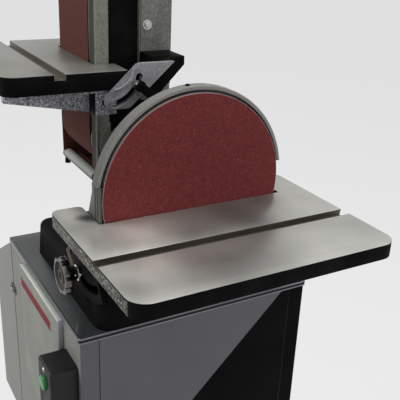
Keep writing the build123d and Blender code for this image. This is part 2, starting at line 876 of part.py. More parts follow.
# Lock knobs of the disc table, one at each end, with their studs
knob_in = trunnion_in + trunnion_thick + run_gap
knob_out = knob_in + knob_reach
for knob_name, end in (("left_lock_knob", -1), ("right_lock_knob", 1)):
    with BuildPart() as knob:
        with BuildSketch(along(end * (knob_out - knob_thick))):
            with Locations((knob_x, knob_z)):
                Circle(knob_r)
                with PolarLocations(knob_r * 1.08, 8):
                    Circle(knob_r * 0.25, mode=Mode.SUBTRACT)
        extrude(amount=-end * knob_thick)
        # Hollow face round the hub, and the hub's own hole
        with BuildSketch(along(end * knob_out)):
            with Locations((knob_x, knob_z)):
                Circle(knob_r * 0.66)
                Circle(knob_r * 0.34, mode=Mode.SUBTRACT)
                Circle(knob_r * 0.16)
        extrude(amount=end * knob_thick * 0.5, mode=Mode.SUBTRACT)
        with BuildSketch(along(end * knob_in)):
            with Locations((knob_x, knob_z)):
                Circle(2.1 * stud_r)
        extrude(amount=-end * washer_thick)
        with BuildSketch(along(end * (knob_in + washer_thick))):
            with Locations((knob_x, knob_z)):
                RegularPolygon(1.7 * stud_r, 6)
        extrude(amount=-end * nut_thick)
        with BuildSketch(along(end * (knob_in + washer_thick + nut_thick))):
            with Locations((knob_x, knob_z)):
                Circle(knob_r * 0.42)
        extrude(amount=-end * (knob_out - knob_thick - knob_in - washer_thick - nut_thick))
        with BuildSketch(along(end * knob_in)):
            with Locations((knob_x, knob_z)):
                Circle(stud_r)
        extrude(amount=end * (trunnion_thick + lug_thick * 0.75))
    write(knob, knob_name)

# Belt arm: ribbed casting that swings on the left-hand boss and carries the belt's upper end
arm_top = idler_z + carriage_high / 2 + release + 6.0
arm_low = arbor_z - arm_below
with BuildPart() as belt_arm:
    with BuildSketch(across(arm_left)) as arm_side:
        with Locations((0, (arm_low + arm_top) / 2)):
            Rectangle(2 * arm_half, arm_top - arm_low)
        fillet(arm_side.vertices().group_by(Axis.Y)[0], arm_rib / 2)
    extrude(amount=arm_thick)
    with BuildSketch(across(arm_left)):
        with Locations((0, arbor_z)):
            Circle(arm_ring_r)
    extrude(amount=arm_ring_width)
    # Recess between the front and rear ribs, on the side away from the belt
    recess_low = arbor_z + arm_ring_r + arm_rib
    recess_high = idler_z - carriage_high / 2 - release - arm_rib
    with BuildSketch(across(arm_right)):
        with Locations((0, (recess_low + recess_high) / 2)):
            RectangleRounded(2 * (arm_half - arm_rib), recess_high - recess_low, 12.0)
    extrude(amount=-arm_recess, mode=Mode.SUBTRACT)
    # Bore for the boss, and the upright slot for the idler axle
    with BuildSketch(across(arm_left)):
        with Locations((0, arbor_z)):
            Circle(boss_r + fit)
    extrude(amount=arm_ring_width, mode=Mode.SUBTRACT)
    with BuildSketch(across(arm_left)):
        with Locations((0, idler_z - release / 2)):
            SlotOverall(2 * axle_r + release + 4.0, 2 * axle_r + 2.0, rotation=90)
    extrude(amount=arm_thick, mode=Mode.SUBTRACT)
    # Bead down the front edge of the outer face
    with BuildSketch(across(arm_right)):
        with Locations((arm_bead / 2 + 1.0 - arm_half, (arm_low + arm_top) / 2)):
            Rectangle(arm_bead, arm_top - arm_low - 2 * arm_rib)
    extrude(amount=arm_bead)
    # Threaded hole for the clamp screw
    with BuildSketch(along(arm_half)):
        with Locations((arm_left + arm_thick / 2, arbor_z)):
            Circle(stud_r + fit)
    extrude(amount=arm_half - boss_r, mode=Mode.SUBTRACT)
write(belt_arm, "belt_arm")

# Clamp lever behind the arm's ring
lever_y = arm_half + run_gap
lever_x = arm_left + arm_thick / 2
with BuildPart() as arm_lock_lever:
    with BuildSketch(along(boss_r + 1.0)):
        with Locations((lever_x, arbor_z)):
            Circle(stud_r)
    extrude(amount=-(lever_y - boss_r - 1.0))
    with BuildSketch(along(lever_y)):
        with Locations((lever_x, arbor_z)):
            Circle(11.0)
    extrude(amount=-22.0)
    with BuildSketch(along(lever_y + 12.0)):
        with Locations((lever_x, arbor_z + clamp_reach / 2 - 4.0)):
            SlotOverall(clamp_reach + 8.0, 11.0, rotation=90)
    extrude(amount=-8.0)
write(arm_lock_lever, "arm_lock_lever")

# Platen bracket between the runs of the belt, bolted to the arm
platen_mid = (arbor_z + idler_z) / 2
platen_y = -(belt_in - platen_gap)
bracket_y = platen_y + platen_thick
with BuildPart() as platen_bracket:
    with BuildSketch(level(platen_mid)):
        with Locations(((belt_left + arm_left) / 2, bracket_y + 4.0)):
            Rectangle(arm_left - belt_left, 8.0)
        with Locations((arm_left - 4.0, bracket_y + 36.0)):
            Rectangle(8.0, 72.0)
    extrude(amount=platen_length * 0.42, both=True)
    for rib_z in (platen_mid - platen_length * 0.3, platen_mid + platen_length * 0.3):
        with BuildSketch(level(rib_z)):
            with BuildLine():
                Polyline(
                    (belt_left + 10.0, bracket_y + 8.0),
                    (arm_left - 8.0, bracket_y + 8.0),
                    (arm_left - 8.0, bracket_y + 66.0),
                    close=True,
                )
            make_face()
        extrude(amount=8.0)
write(platen_bracket, "platen_bracket")

# Ground platen behind the working run, with eased ends
with BuildPart() as platen:
    with BuildSketch(across(belt_left)):
        with Locations((platen_y + platen_thick / 2, platen_mid)):
            Rectangle(platen_thick, platen_length)
    extrude(amount=belt_width)
    chamfer(platen.edges().filter_by(Axis.X).group_by(Axis.Y)[0], platen_thick * 0.5)
write(platen, "platen")

# Sanding belt round both drums
with BuildPart() as sanding_belt:
    with BuildSketch(across(belt_left)):
        with Locations((0, platen_mid)):
            SlotCenterToCenter(drum_span, 2 * belt_out, rotation=90)
            SlotCenterToCenter(drum_span, 2 * belt_in, rotation=90, mode=Mode.SUBTRACT)
    extrude(amount=belt_width)
write(sanding_belt, "sanding_belt")

# Idler carriage: a block that slides on the arm and holds the idler axle
with BuildPart() as idler_carriage:
    with BuildSketch(across(arm_right + run_gap)):
        with Locations((0, idler_z)):
            RectangleRounded(2 * carriage_half, carriage_high, 6.0)
    extrude(amount=carriage_thick)
    with BuildSketch(across(arm_right + run_gap)):
        with Locations((0, idler_z)):
            Circle(axle_r)
    extrude(amount=carriage_thick, mode=Mode.SUBTRACT)
    with BuildSketch(across(arm_right + run_gap)):
        with Locations((0, idler_z + carriage_high * 0.32)):
            Circle(4.0 + fit)
    extrude(amount=carriage_thick, mode=Mode.SUBTRACT)
    with BuildSketch(level(idler_z - carriage_high / 2)):
        with Locations((arm_right + spring_r, 0)):
            Circle(rod_r)
    extrude(amount=-(release + 14.0))
write(idler_carriage, "idler_carriage")

# Rails that guide the carriage on the arm
with BuildPart() as carriage_rails:
    for way in (-1, 1):
        with BuildSketch(level(idler_z - carriage_high / 2 - release)):
            with Locations((arm_right + carriage_thick / 2, way * (carriage_half + run_gap + 5.0))):
                Rectangle(carriage_thick, 10.0)
        extrude(amount=carriage_high + 2 * release)
write(carriage_rails, "carriage_rails")

with BuildPart() as idler_axle:
    with BuildSketch(across(drum_left - 6.0)):
        with Locations((0, idler_z)):
            Circle(axle_r)
    extrude(amount=arm_right + run_gap + carriage_thick - drum_left + 6.0)
    with BuildSketch(across(drum_left - 6.0)):
        with Locations((0, idler_z)):
            RegularPolygon(axle_r * 1.5, 6)
    extrude(amount=5.5)
write(idler_axle, "idler_axle")

# Idler drum, free on its axle
idler_drum = turned_drum(idler_z, axle_r + fit)
write(idler_drum, "idler_drum")

# Tracking knob, screwed through the carriage
track_z = idler_z + carriage_high * 0.32
track_x = arm_right + run_gap + carriage_thick
with BuildPart() as tracking_knob:
    with BuildSketch(across(arm_right + 2.0)):
        with Locations((0, track_z)):
            Circle(4.0)
    extrude(amount=track_x + 10.0 - arm_right - 2.0)
    with BuildSketch(across(track_x + 10.0)):
        with Locations((0, track_z)):
            Circle(17.0)
            with PolarLocations(18.0, 6):
                Circle(4.5, mode=Mode.SUBTRACT)
    extrude(amount=14.0)
write(tracking_knob, "tracking_knob")

# Tube with the belt's tension spring, under the carriage
tube_top = idler_z - carriage_high / 2 - release - 1.0
tube_high = 24.0
lever_z = tube_top - tube_high * 0.6
with BuildPart() as spring_tube:
    with BuildSketch(level(tube_top)):
        with Locations((arm_right + spring_r, 0)):
            Circle(spring_r)
        with Locations((arm_right + spring_r / 2, 0)):
            Rectangle(spring_r, 44.0)
    extrude(amount=-tube_high)
    with BuildSketch(level(tube_top)):
        with Locations((arm_right + spring_r, 0)):
            Circle(rod_r + run_gap)
    extrude(amount=-tube_high, mode=Mode.SUBTRACT)
    with BuildSketch(across(arm_right + 2 * spring_r)):
        with Locations((0, lever_z)):
            Circle(pin_r + fit)
    extrude(amount=-6.0, mode=Mode.SUBTRACT)
write(spring_tube, "spring_tube")

# Tension lever, on a pivot pin in the spring tube
tension_x = arm_right + 2 * spring_r + run_gap
with BuildPart() as tension_lever:
    with BuildSketch(across(tension_x)):
        with Locations((0, lever_z)):
            Circle(12.0)
        with Locations((-38.0, lever_z)):
            SlotOverall(96.0, 13.0)
    extrude(amount=9.0)
    with BuildSketch(across(tension_x)):
        with Locations((0, lever_z)):
            Circle(pin_r)
    extrude(amount=-5.5)
    with BuildSketch(across(tension_x + 9.0)):
        with Locations((-74.0, lever_z)):
            Circle(9.0)
    extrude(amount=22.0)
write(tension_lever, "tension_lever")

# Belt guard: a sheet cover behind the return run that curves over the idler
guard_left = drum_left - 11.0
with BuildPart() as belt_guard:
    with BuildSketch(across(guard_left)):
        with BuildLine():
            outer_low = Line((guard_back, arbor_z + guard_low), (guard_back, idler_z))
            outer_arc = CenterArc((0, idler_z), guard_back, 0, 95.0)
            inner_arc = CenterArc((0, idler_z), guard_back - sheet, 0, 95.0)
            Line(outer_arc @ 1, inner_arc @ 1)
            inner_low = Line(inner_arc @ 0, (guard_back - sheet, arbor_z + guard_low))
            Line(inner_low @ 1, outer_low @ 0)
        make_face()
    extrude(amount=arm_right + sheet - guard_left)
    # Side flanges: the left one stands free, the right one lies on the arm
    left_flange = (guard_left, belt_out + 6.0, arbor_z + guard_low)
    right_flange = (arm_right, arm_half - arm_rib + 2.0, arbor_z + guard_low - guard_tail)
    for flange_x, inner_y, flange_low in (left_flange, right_flange):
        with BuildSketch(across(flange_x)):
            with Locations(((inner_y + guard_back - 1.0) / 2, (flange_low + recess_high) / 2)):
                Rectangle(guard_back - 1.0 - inner_y, recess_high - flange_low)
        extrude(amount=sheet)
write(belt_guard, "belt_guard")

# Belt table, cut out round the belt and the arm, with a mitre slot along X
notch_right = arm_right + 6.0
with BuildPart() as belt_table:
    with BuildSketch(level(belt_table_z)) as belt_plan:
        ear_back = belt_table_y + belt_table_ear
        with Locations((belt_x, (ear_back - belt_table_front) / 2)):
            Rectangle(belt_table_width, belt_table_front + ear_back)
        fillet(belt_plan.vertices().group_by(Axis.Y)[0], belt_table_corner)
        fillet(belt_plan.vertices().group_by(Axis.Y)[-1], ear_corner / 4)
        with Locations(((drum_left - 6.0 + notch_right) / 2, belt_table_y + 50.0)):
            Rectangle(notch_right - drum_left + 6.0, 100.0, mode=Mode.SUBTRACT)
    extrude(amount=-belt_table_rim)
    bevel_in = belt_table_y - belt_table_rim - rim_width
    slot_back = -belt_slot_centre + slot_width / 2 + rim_width
    slot_front = -belt_slot_centre - slot_width / 2 - rim_width
    front_edge = -belt_table_front + rim_width
    with BuildSketch(level(belt_table_z - belt_table_rim)):
        with Locations((belt_x, (front_edge + slot_front) / 2)):
            RectangleRounded(belt_table_width - 2 * rim_width, slot_front - front_edge, 8.0)
    extrude(amount=belt_table_rim - belt_table_plate, mode=Mode.SUBTRACT)
    # The ears run back as plain plate, clear of the lock bolt's boss
    with BuildSketch(level(belt_table_z - belt_table_rim)):
        with Locations((belt_x, belt_table_y + (ear_land + belt_table_ear) / 2)):
            Rectangle(belt_table_width, belt_table_ear - ear_land)
    extrude(amount=belt_table_rim - belt_table_plate, mode=Mode.SUBTRACT)
    with BuildSketch(across(drum_left - 6.0)):
        with BuildLine():
            Polyline(
                (belt_table_y, belt_table_z - edge_land),
                (belt_table_y - belt_table_rim + edge_land, belt_table_z - belt_table_rim),
                (belt_table_y, belt_table_z - belt_table_rim),
                close=True,
            )
        make_face()
    extrude(amount=notch_right - drum_left + 6.0, mode=Mode.SUBTRACT)
    with BuildSketch(level(belt_table_z - slot_depth)):
        with Locations((belt_x, -belt_slot_centre)):
            Rectangle(belt_table_width, slot_width)
    extrude(amount=slot_depth, mode=Mode.SUBTRACT)
write(belt_table, "belt_table")

# Support casting under the belt table: a tapered rib, a flange and the block that backs the quadrant
rib_x = notch_right + 2.0
rib_top = belt_table_z - belt_table_rim
rib_back = belt_table_y - 8.0
block_x = rib_x + rib_thick + 2.0
with BuildPart() as belt_table_support:
    with BuildSketch(across(rib_x)):
        with BuildLine():
            Polyline(
                (-belt_table_front + boss_in, rib_top),
                (-belt_table_front + boss_in, rib_top - rib_drop * 0.4),
                (rib_back, rib_top - rib_drop),
                (rib_back, rib_top),
                close=True,
            )
        make_face()
    extrude(amount=rib_thick)
    with BuildSketch(across(rib_x + rib_thick)):
        with Locations((-belt_table_front + boss_in + 2.4 * foot_boss_r, rib_top - 1.1 * foot_boss_r)):
            with GridLocations(2.6 * foot_boss_r, 0, 2, 1):
                Circle(foot_boss_r)
    extrude(amount=foot_boss_r)
    with BuildSketch(across(block_x)):
        with Locations((belt_table_y + (block_behind - block_ahead) / 2, rib_top - block_drop / 2)):
            Rectangle(block_ahead + block_behind, block_drop)
    extrude(amount=block_long)
    with BuildSketch(level(rib_top)):
        with Locations(((rib_x + block_x + block_long) / 2, rib_back - 6.0)):
            Rectangle(block_x + block_long - rib_x, support_flange)
    extrude(amount=-flange_thick)
write(belt_table_support, "belt_table_support")

# Quadrant on the belt table's right-hand end, with a curved slot inside a raised lip and two raised ribs
quad_x = belt_table_right
quad_at = Vector(belt_table_y, belt_table_z)
belt_slot_from = lock_bolt_angle - belt_table_down - 12.0
belt_slot_sweep = belt_table_down + belt_table_up + 14.5
bolt_path = CenterArc(quad_at, quadrant_slot_r, belt_slot_from, belt_slot_sweep)
inner_rib = ThreePointArc(
    quad_at + quadrant_slot_r * Vector(0.16, -0.54),
    quad_at + quadrant_slot_r * Vector(0.61, -0.32),
    quad_at + quadrant_slot_r * Vector(0.79, 0.10),
)
outer_rib = ThreePointArc(
    quad_at + quadrant_slot_r * Vector(0.63, -0.40),
    quad_at + quadrant_slot_r * Vector(0.83, -0.14),
    quad_at + quadrant_slot_r * Vector(0.97, 0.10),
)
with BuildPart() as belt_table_quadrant:
    with BuildSketch(across(quad_x)) as quad_plan:
        with BuildLine():
            Polyline(
                quad_at + Vector(0.63 * quadrant_slot_r + quadrant_rise, quadrant_rise),
                quad_at + Vector(-0.65 * quadrant_slot_r, -1.17 * quadrant_slot_r),
                quad_at + Vector(0.67 * quadrant_slot_r, -1.17 * quadrant_slot_r),
                quad_at + Vector(2.01 * quadrant_slot_r + quadrant_rise, quadrant_rise),
                close=True,
            )
        make_face()
        fillet(quad_plan.vertices().sort_by(Axis.X)[0], 0.29 * quadrant_slot_r)
        fillet(quad_plan.vertices().group_by(Axis.Y)[0].sort_by(Axis.X)[-1], 0.22 * quadrant_slot_r)
        SlotArc(bolt_path, 2 * lock_bolt_r + 2.0, mode=Mode.SUBTRACT)
    extrude(amount=quadrant_thick)
    with BuildSketch(across(quad_x + quadrant_thick)):
        SlotArc(bolt_path, 2 * lock_bolt_r + 7.0)
        SlotArc(inner_rib, 2.0)
        SlotArc(outer_rib, 2.0)
        SlotArc(bolt_path, 2 * lock_bolt_r + 2.0, mode=Mode.SUBTRACT)
    extrude(amount=quadrant_lip)
write(belt_table_quadrant, "belt_table_quadrant")

# Bracket on the arm, behind the quadrant, that the lock bolt screws into
bracket_x = belt_table_right - run_gap - bracket_thick
bracket_back = belt_table_y + 2.7 * quadrant_slot_r
bracket_top = belt_table_z + 18.0
bracket_low = bolt_z - 31.0
foot_low = bracket_top - 36.0
with BuildPart() as table_bracket:
    with BuildSketch(across(bracket_x)):
        with BuildLine():
            Polyline(
                (bolt_y - 4.0, bolt_z - 13.0),
                (bolt_y + 40.0, bracket_low),
                (bracket_back, bracket_low + bracket_back - bolt_y - 40.0),
                (bracket_back, bracket_top),
                (bracket_back - 24.0, bracket_top),
                (bolt_y - 2.0, bolt_z + 13.0),
                close=True,
            )
        make_face()
        with Locations((bolt_y, bolt_z)):
            Circle(2.4 * lock_bolt_r)
    extrude(amount=bracket_thick)
    # Foot that reaches the arm over the flange of the belt guard
    with BuildSketch(across(arm_right + sheet)):
        Polygon(
            (arm_half - arm_rib, bracket_top),
            (arm_half - arm_rib, foot_low),
            (bolt_y + 40.0 + foot_low - bracket_low, foot_low),
            (bracket_back, bracket_low + bracket_back - bolt_y - 40.0),
            (bracket_back, bracket_top),
            align=None,
        )
    extrude(amount=bracket_x - arm_right - sheet)
    with BuildSketch(across(bracket_x)):
        with Locations((bolt_y, bolt_z)):
            Circle(lock_bolt_r + fit)
    extrude(amount=bracket_thick, mode=Mode.SUBTRACT)
write(table_bracket, "table_bracket")

# Lock handle of the belt table: bolt, collar and a short lever
lock_x = quad_x + quadrant_thick + quadrant_lip + run_gap
with BuildPart() as belt_table_lock:
    with BuildSketch(across(bracket_x)):
        with Locations((bolt_y, bolt_z)):
            Circle(lock_bolt_r)
    extrude(amount=lock_x - bracket_x)
    with BuildSketch(across(lock_x)):
        with Locations((bolt_y, bolt_z)):
            Circle(1.9 * lock_bolt_r)
    extrude(amount=16.0)
    with BuildSketch(across(lock_x + 4.0)):
        with Locations((bolt_y + 14.0, bolt_z - 11.0)):
            SlotOverall(50.0, 15.0, rotation=-38)
    extrude(amount=11.0)
write(belt_table_lock, "belt_table_lock")

# Dust scoop under the drive drum: a trough with a rolled lip in front, and a cheek beside the belt's free edge
scoop_left = drum_left - 1.75 * sheet
scoop_right = belt_right + 2 * sheet
nose_y = -nose_ahead
nose_z = arbor_z - nose_drop
with BuildPart() as dust_scoop:
    with BuildSketch(across(scoop_left)):
        Polygon(
            (nose_y, nose_z),
            (nose_y, nose_z - 0.9 * nose_r),
            (nose_y + 2 * nose_r, scoop_z),
            (scoop_back, scoop_z),
            (scoop_back, nose_z),
            align=None,
        )
        with Locations((nose_y, nose_z)):
            Circle(nose_r)
    extrude(amount=scoop_right - scoop_left)
    with BuildSketch(across(scoop_left + sheet)):
        Polygon(
            (nose_y + 1.1 * nose_r, nose_z + 2 * nose_r),
            (nose_y + 1.1 * nose_r, nose_z - 0.4 * nose_r),
            (nose_y + 2.2 * nose_r, scoop_z + sheet),
            (scoop_back - sheet, scoop_z + sheet),
            (scoop_back - sheet, nose_z + 2 * nose_r),
            align=None,
        )
    extrude(amount=scoop_right - scoop_left - 2 * sheet, mode=Mode.SUBTRACT)
    with BuildSketch(across(scoop_left + sheet)):
        with Locations((0, arbor_z)):
            Circle(belt_out + 3.5)
    extrude(amount=scoop_right - scoop_left, mode=Mode.SUBTRACT)
    with BuildSketch(across(scoop_left)) as cheek:
        with Locations((0, (scoop_z + sheet + arbor_z + cheek_rise) / 2)):
            Rectangle(2 * belt_out, arbor_z + cheek_rise - scoop_z - sheet)
        fillet(cheek.vertices().group_by(Axis.Y)[-1], nose_r)
        Polygon(
            (-belt_out - 1.0, nose_z),
            (nose_y + 2 * nose_r, scoop_z - 1.0),
            (-belt_out - 1.0, scoop_z - 1.0),
            align=None,
            mode=Mode.SUBTRACT,
        )
    extrude(amount=sheet)
    with BuildSketch(level(scoop_z)):
        with Locations((chute_mid, chute_front + chute_y / 2)):
            Rectangle(chute_x - 2 * sheet, chute_y - 2 * sheet)
    extrude(amount=sheet, mode=Mode.SUBTRACT)
    # Fixing bolt under the free end of the lip
    with BuildSketch(level(nose_z - nose_r / 2)):
        with Locations((scoop_left + 1.5 * lip_bolt_r, nose_y - lip_bolt_r)):
            Circle(lip_bolt_r)
    extrude(amount=-(nose_r / 2 + lip_bolt_drop))
write(dust_scoop, "dust_scoop")

# Chute from the scoop down to the dust box's sloping top
with BuildPart() as dust_chute:
    with BuildSketch(level(box_low + 2 * sheet)):
        with Locations((chute_mid, chute_front + chute_y / 2)):
            Rectangle(chute_x, chute_y)
            Rectangle(chute_x - 2 * sheet, chute_y - 2 * sheet, mode=Mode.SUBTRACT)
    extrude(amount=scoop_z - box_low - 2 * sheet)
    with BuildSketch(along(-wall_y)):
        with BuildLine():
            Polyline(
                (-wall_x, box_low),
                (-wall_x, box_top),
                (box_left, box_top - box_width * tan(radians(box_slope))),
                (box_left, box_low),
                close=True,
            )
        make_face()
    extrude(amount=-2 * wall_y, mode=Mode.SUBTRACT)
write(dust_chute, "dust_chute")

# Push-button box on the front panel
switch_width = 62.0
switch_height = 116.0
switch_depth = 44.0
with BuildPart() as switch_box:
    with BuildSketch(along(-wall_y)):
        with Locations((switch_x, switch_z)):
            RectangleRounded(switch_width, switch_height, 8.0)
    extrude(amount=switch_depth)
    fillet(switch_box.faces().sort_by(Axis.Y)[0].edges(), 4.0)
    for button_z in (switch_z + 26.0, switch_z - 26.0):
        with BuildSketch(along(-wall_y - switch_depth)):
            with Locations((switch_x, button_z)):
                Circle(button_r + run_gap)
        extrude(amount=-14.0, mode=Mode.SUBTRACT)
write(switch_box, "switch_box")

for button_name, button_z, proud in (("start_button", switch_z + 26.0, 5.0), ("stop_button", switch_z - 26.0, 9.0)):
    with BuildPart() as button:
        with BuildSketch(along(-wall_y - switch_depth + 14.0 - button_travel - 1.0)):
            with Locations((switch_x, button_z)):
                Circle(button_r)
        extrude(amount=14.0 - button_travel - 1.0 + proud)
        chamfer(button.faces().sort_by(Axis.Y)[0].edges(), 1.5)
    write(button, button_name)

# Cord gland low on the back panel
with BuildPart() as cord_gland:
    with BuildSketch(along(wall_y)):
        with Locations((120.0, 120.0)):
            RegularPolygon(13.0, 6)
    extrude(amount=-9.0)
    with BuildSketch(along(wall_y + 9.0)):
        with Locations((120.0, 120.0)):
            Circle(9.5)
    extrude(amount=-10.0)
    with BuildSketch(along(wall_y)):
        with Locations((120.0, 120.0)):
            Circle(4.5)
    extrude(amount=-19.0, mode=Mode.SUBTRACT)
write(cord_gland, "cord_gland")
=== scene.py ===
"""Looks of a belt and disc finishing sander on a closed stand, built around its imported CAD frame."""

import json
import logging
import math
from dataclasses import dataclass
from enum import Enum
from typing import Any, Callable, Sequence

import bpy
from mathutils import Matrix, Vector


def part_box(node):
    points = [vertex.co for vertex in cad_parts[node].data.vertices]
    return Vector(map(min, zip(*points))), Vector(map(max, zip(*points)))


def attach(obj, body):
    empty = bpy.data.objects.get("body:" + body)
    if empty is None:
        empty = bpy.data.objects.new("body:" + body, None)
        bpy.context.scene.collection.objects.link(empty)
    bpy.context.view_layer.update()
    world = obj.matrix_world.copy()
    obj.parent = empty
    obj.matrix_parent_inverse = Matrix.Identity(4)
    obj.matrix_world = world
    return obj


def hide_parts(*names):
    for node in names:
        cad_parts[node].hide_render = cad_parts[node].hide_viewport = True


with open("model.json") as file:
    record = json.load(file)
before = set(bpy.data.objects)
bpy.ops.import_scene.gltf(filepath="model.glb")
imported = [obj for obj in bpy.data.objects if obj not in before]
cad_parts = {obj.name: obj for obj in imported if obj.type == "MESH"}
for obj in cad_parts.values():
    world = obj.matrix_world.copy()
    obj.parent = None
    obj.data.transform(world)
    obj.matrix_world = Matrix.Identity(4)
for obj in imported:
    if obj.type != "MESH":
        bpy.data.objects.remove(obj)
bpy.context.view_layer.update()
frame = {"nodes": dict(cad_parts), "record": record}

Piece = bpy.types.Object
Material = bpy.types.Material
Socket = bpy.types.NodeSocket
FaceTest = Callable[[Vector, Vector], bool]

LOG = logging.getLogger("sander")
MM = 0.001
SMOOTH_ANGLE = math.radians(35.0)
MERGE_BELOW = 0.002 * MM
SEAM_BELOW = 0.01 * MM
LEVEL_WITHIN = 0.05 * MM
FLAT_WITHIN = math.radians(0.3)


class Side(Enum):
    """The two ends of the disc table, along Y."""

    LEFT = -1
    RIGHT = 1


class Facing(Enum):
    """Directions that a fastener's head can face."""

    FRONT = (0.0, -1.0, 0.0)
    BACK = (0.0, 1.0, 0.0)
    LEFT = (-1.0, 0.0, 0.0)
    RIGHT = (1.0, 0.0, 0.0)
    UP = (0.0, 0.0, 1.0)


# What the frame says


def middle_of(node: str) -> Vector:
    """Find the middle of a CAD node's box."""
    low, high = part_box(node)
    return (low + high) / 2


def body_of_node(node: str) -> str:
    """Name the body that a CAD node belongs to."""
    bodies: dict[str, list[str]] = frame["record"]["behaviour"]["bodies"]
    return next(body for body, members in bodies.items() if node in members)


# Colours and nodes


def linear(hex_colour: str) -> tuple[float, float, float, float]:
    """Turn an sRGB hex colour into linear RGBA.

    Args:
        hex_colour: Six hex digits, with or without a leading hash.

    Returns:
        The linear colour with an alpha of 1.
    """
    digits = hex_colour.lstrip("#")
    values = [int(digits[i : i + 2], 16) / 255 for i in (0, 2, 4)]
    r, g, b = (v / 12.92 if v <= 0.04045 else ((v + 0.055) / 1.055) ** 2.4 for v in values)
    return r, g, b, 1.0


def per_mm(size: float) -> float:
    """Texture scale whose features are about size millimetres across."""
    return 1000.0 / size


def feed(socket: Socket, value: Any) -> None:
    """Set an input socket, or link it when the value is an output socket.

    Args:
        socket: The input socket.
        value: A number, a colour, a vector or an output socket.
    """
    if isinstance(value, bpy.types.NodeSocket):
        socket.id_data.links.new(value, socket)
    else:
        socket.default_value = value


def add_node(tree: bpy.types.NodeTree, kind: str, settings: dict[Any, Any] | None = None) -> bpy.types.Node:
    """Add one node with its settings and links.

    Args:
        tree: The node tree that gets the node.
        kind: The node's type name, without the ShaderNode prefix.
        settings: Property names or input sockets (by name or index), each with what it is given.

    Returns:
        The new node.
    """
    node = tree.nodes.new("ShaderNode" + kind)
    for key, value in (settings or {}).items():
        if isinstance(key, str) and hasattr(node, key):
            setattr(node, key, value)
        else:
            feed(node.inputs[key], value)
    return node


def seen_share(tree: bpy.types.NodeTree) -> Socket:
    """Tell the rays that show in the picture, straight or mirrored, from those that only light.

    Args:
        tree: The node tree that asks.

    Returns:
        One for the rays that show, and nought for the others.
    """
    path = add_node(tree, "LightPath")
    seen = path.outputs["Is Camera Ray"]
    for ray in ("Is Glossy Ray", "Is Transmission Ray"):
        seen = add_node(tree, "Math", {"operation": "MAXIMUM", 0: seen, 1: path.outputs[ray]}).outputs[0]
    return seen


class Paint:
    """A new material with a Principled shader, and the node set-ups that the finishes share."""

    def __init__(self, name: str) -> None:
        """Start the material.

        Args:
            name: The material's name.
        """
        self.result = bpy.data.materials.new(name)
        self.result.use_nodes = True
        self.tree = self.result.node_tree
        self.tree.nodes.clear()
        self.shader = self.node("BsdfPrincipled")
        self.output = self.node("OutputMaterial", {"Surface": self.shader.outputs[0]})
        self.at = self.node("TexCoord").outputs["Object"]

    def node(self, kind: str, settings: dict[Any, Any] | None = None) -> bpy.types.Node:
        """Add one node to the material, as add_node does."""
        return add_node(self.tree, kind, settings)

    def noise(self, size_mm: float, detail: float, roughness: float = 0.5, output: str = "Fac") -> Socket:
        """Add a noise texture with features of a size, and give its Fac or its Color output."""
        settings = {"Scale": per_mm(size_mm), "Detail": detail, "Roughness": roughness, "Vector": self.at}
        return self.node("TexNoise", settings).outputs[output]

    def cells(self, size_mm: float, at: Socket) -> tuple[Socket, Socket, Socket]:
        """Add a pattern of cells.

        Args:
            size_mm: About the size of a cell.
            at: The coordinates.

        Returns:
            Two tones that change from cell to cell, and the distance from the cell's middle.
        """
        pattern = self.node("TexVoronoi", {"Scale": per_mm(size_mm), "Vector": at})
        tones = self.node("SeparateColor", {"Color": pattern.outputs["Color"]}).outputs
        return tones[0], tones[1], pattern.outputs["Distance"]

    def ramp(self, factor: Socket, *stops: tuple[float, str]) -> Socket:
        """Colour a value.

        Args:
            factor: The value.
            stops: Positions from 0 to 1 in rising order, each with an sRGB hex colour.

        Returns:
            The colour.
        """
        node = self.node("ValToRGB", {"Fac": factor})
        elements = node.color_ramp.elements
        while len(elements) < len(stops):
            elements.new(1.0)
        for element, (position, colour) in zip(elements, stops):
            element.position = position
            element.color = linear(colour)
        return node.outputs["Color"]

    def calc(self, operation: str, *values: Any) -> Socket:
        """Work out a number from numbers and sockets by one Math node."""
        return self.node("Math", {"operation": operation, **dict(enumerate(values))}).outputs[0]

    def around(self, noise: Socket, middle: float, spread: float) -> Socket:
        """Let a noise from nought to one move a value about its middle."""
        return self.calc("MULTIPLY_ADD", noise, spread, middle - spread / 2)

    def span(self, value: Socket, limits: Sequence[float], kind: str = "LINEAR") -> Socket:
        """Turn one span of values into another; limits gives the ends of both."""
        settings = {"interpolation_type": kind, 0: value, **dict(enumerate(limits, 1))}
        return self.node("MapRange", settings).outputs[0]

    def mix(self, factor: Any, under: Any, over: Any, blend: str = "MIX") -> Socket:
        """Mix two colours, given as colours or sockets, by the share of the upper one."""
        settings = {"data_type": "RGBA", "blend_type": blend, 0: factor, 6: under, 7: over}
        return self.node("Mix", settings).outputs[2]

    def reach(self, middle: Sequence[float], axes: Sequence[float]) -> Socket:
        """Measure the distance from an axis through a point; axes is nought along it and one across it."""
        moved = self.node("Mapping", {"Location": [-v for v in middle], "Scale": axes, "Vector": self.at})
        return self.node("VectorMath", {"operation": "LENGTH", 0: moved.outputs["Vector"]}).outputs["Value"]

    def bump(self, height: Socket, strength: float, depth_mm: float) -> None:
        """Rough the surface up by a height, with bumps of the given depth."""
        bump = self.node("Bump", {"Strength": strength, "Distance": depth_mm * MM, "Height": height})
        feed(self.shader.inputs["Normal"], bump.outputs["Normal"])

    def finish(self, colour: Any, roughness: Any, gloss: float = 0.5, metallic: float = 0.0) -> Material:
        """Set the shader's main sockets.

        Args:
            colour: The colour.
            roughness: The roughness.
            gloss: The specular level.
            metallic: The share of metal.

        Returns:
            The finished material.
        """
        for name, value in (("Base Color", colour), ("Roughness", roughness),
                            ("Specular IOR Level", gloss), ("Metallic", metallic)):
            feed(self.shader.inputs[name], value)
        return self.result


# Finishes


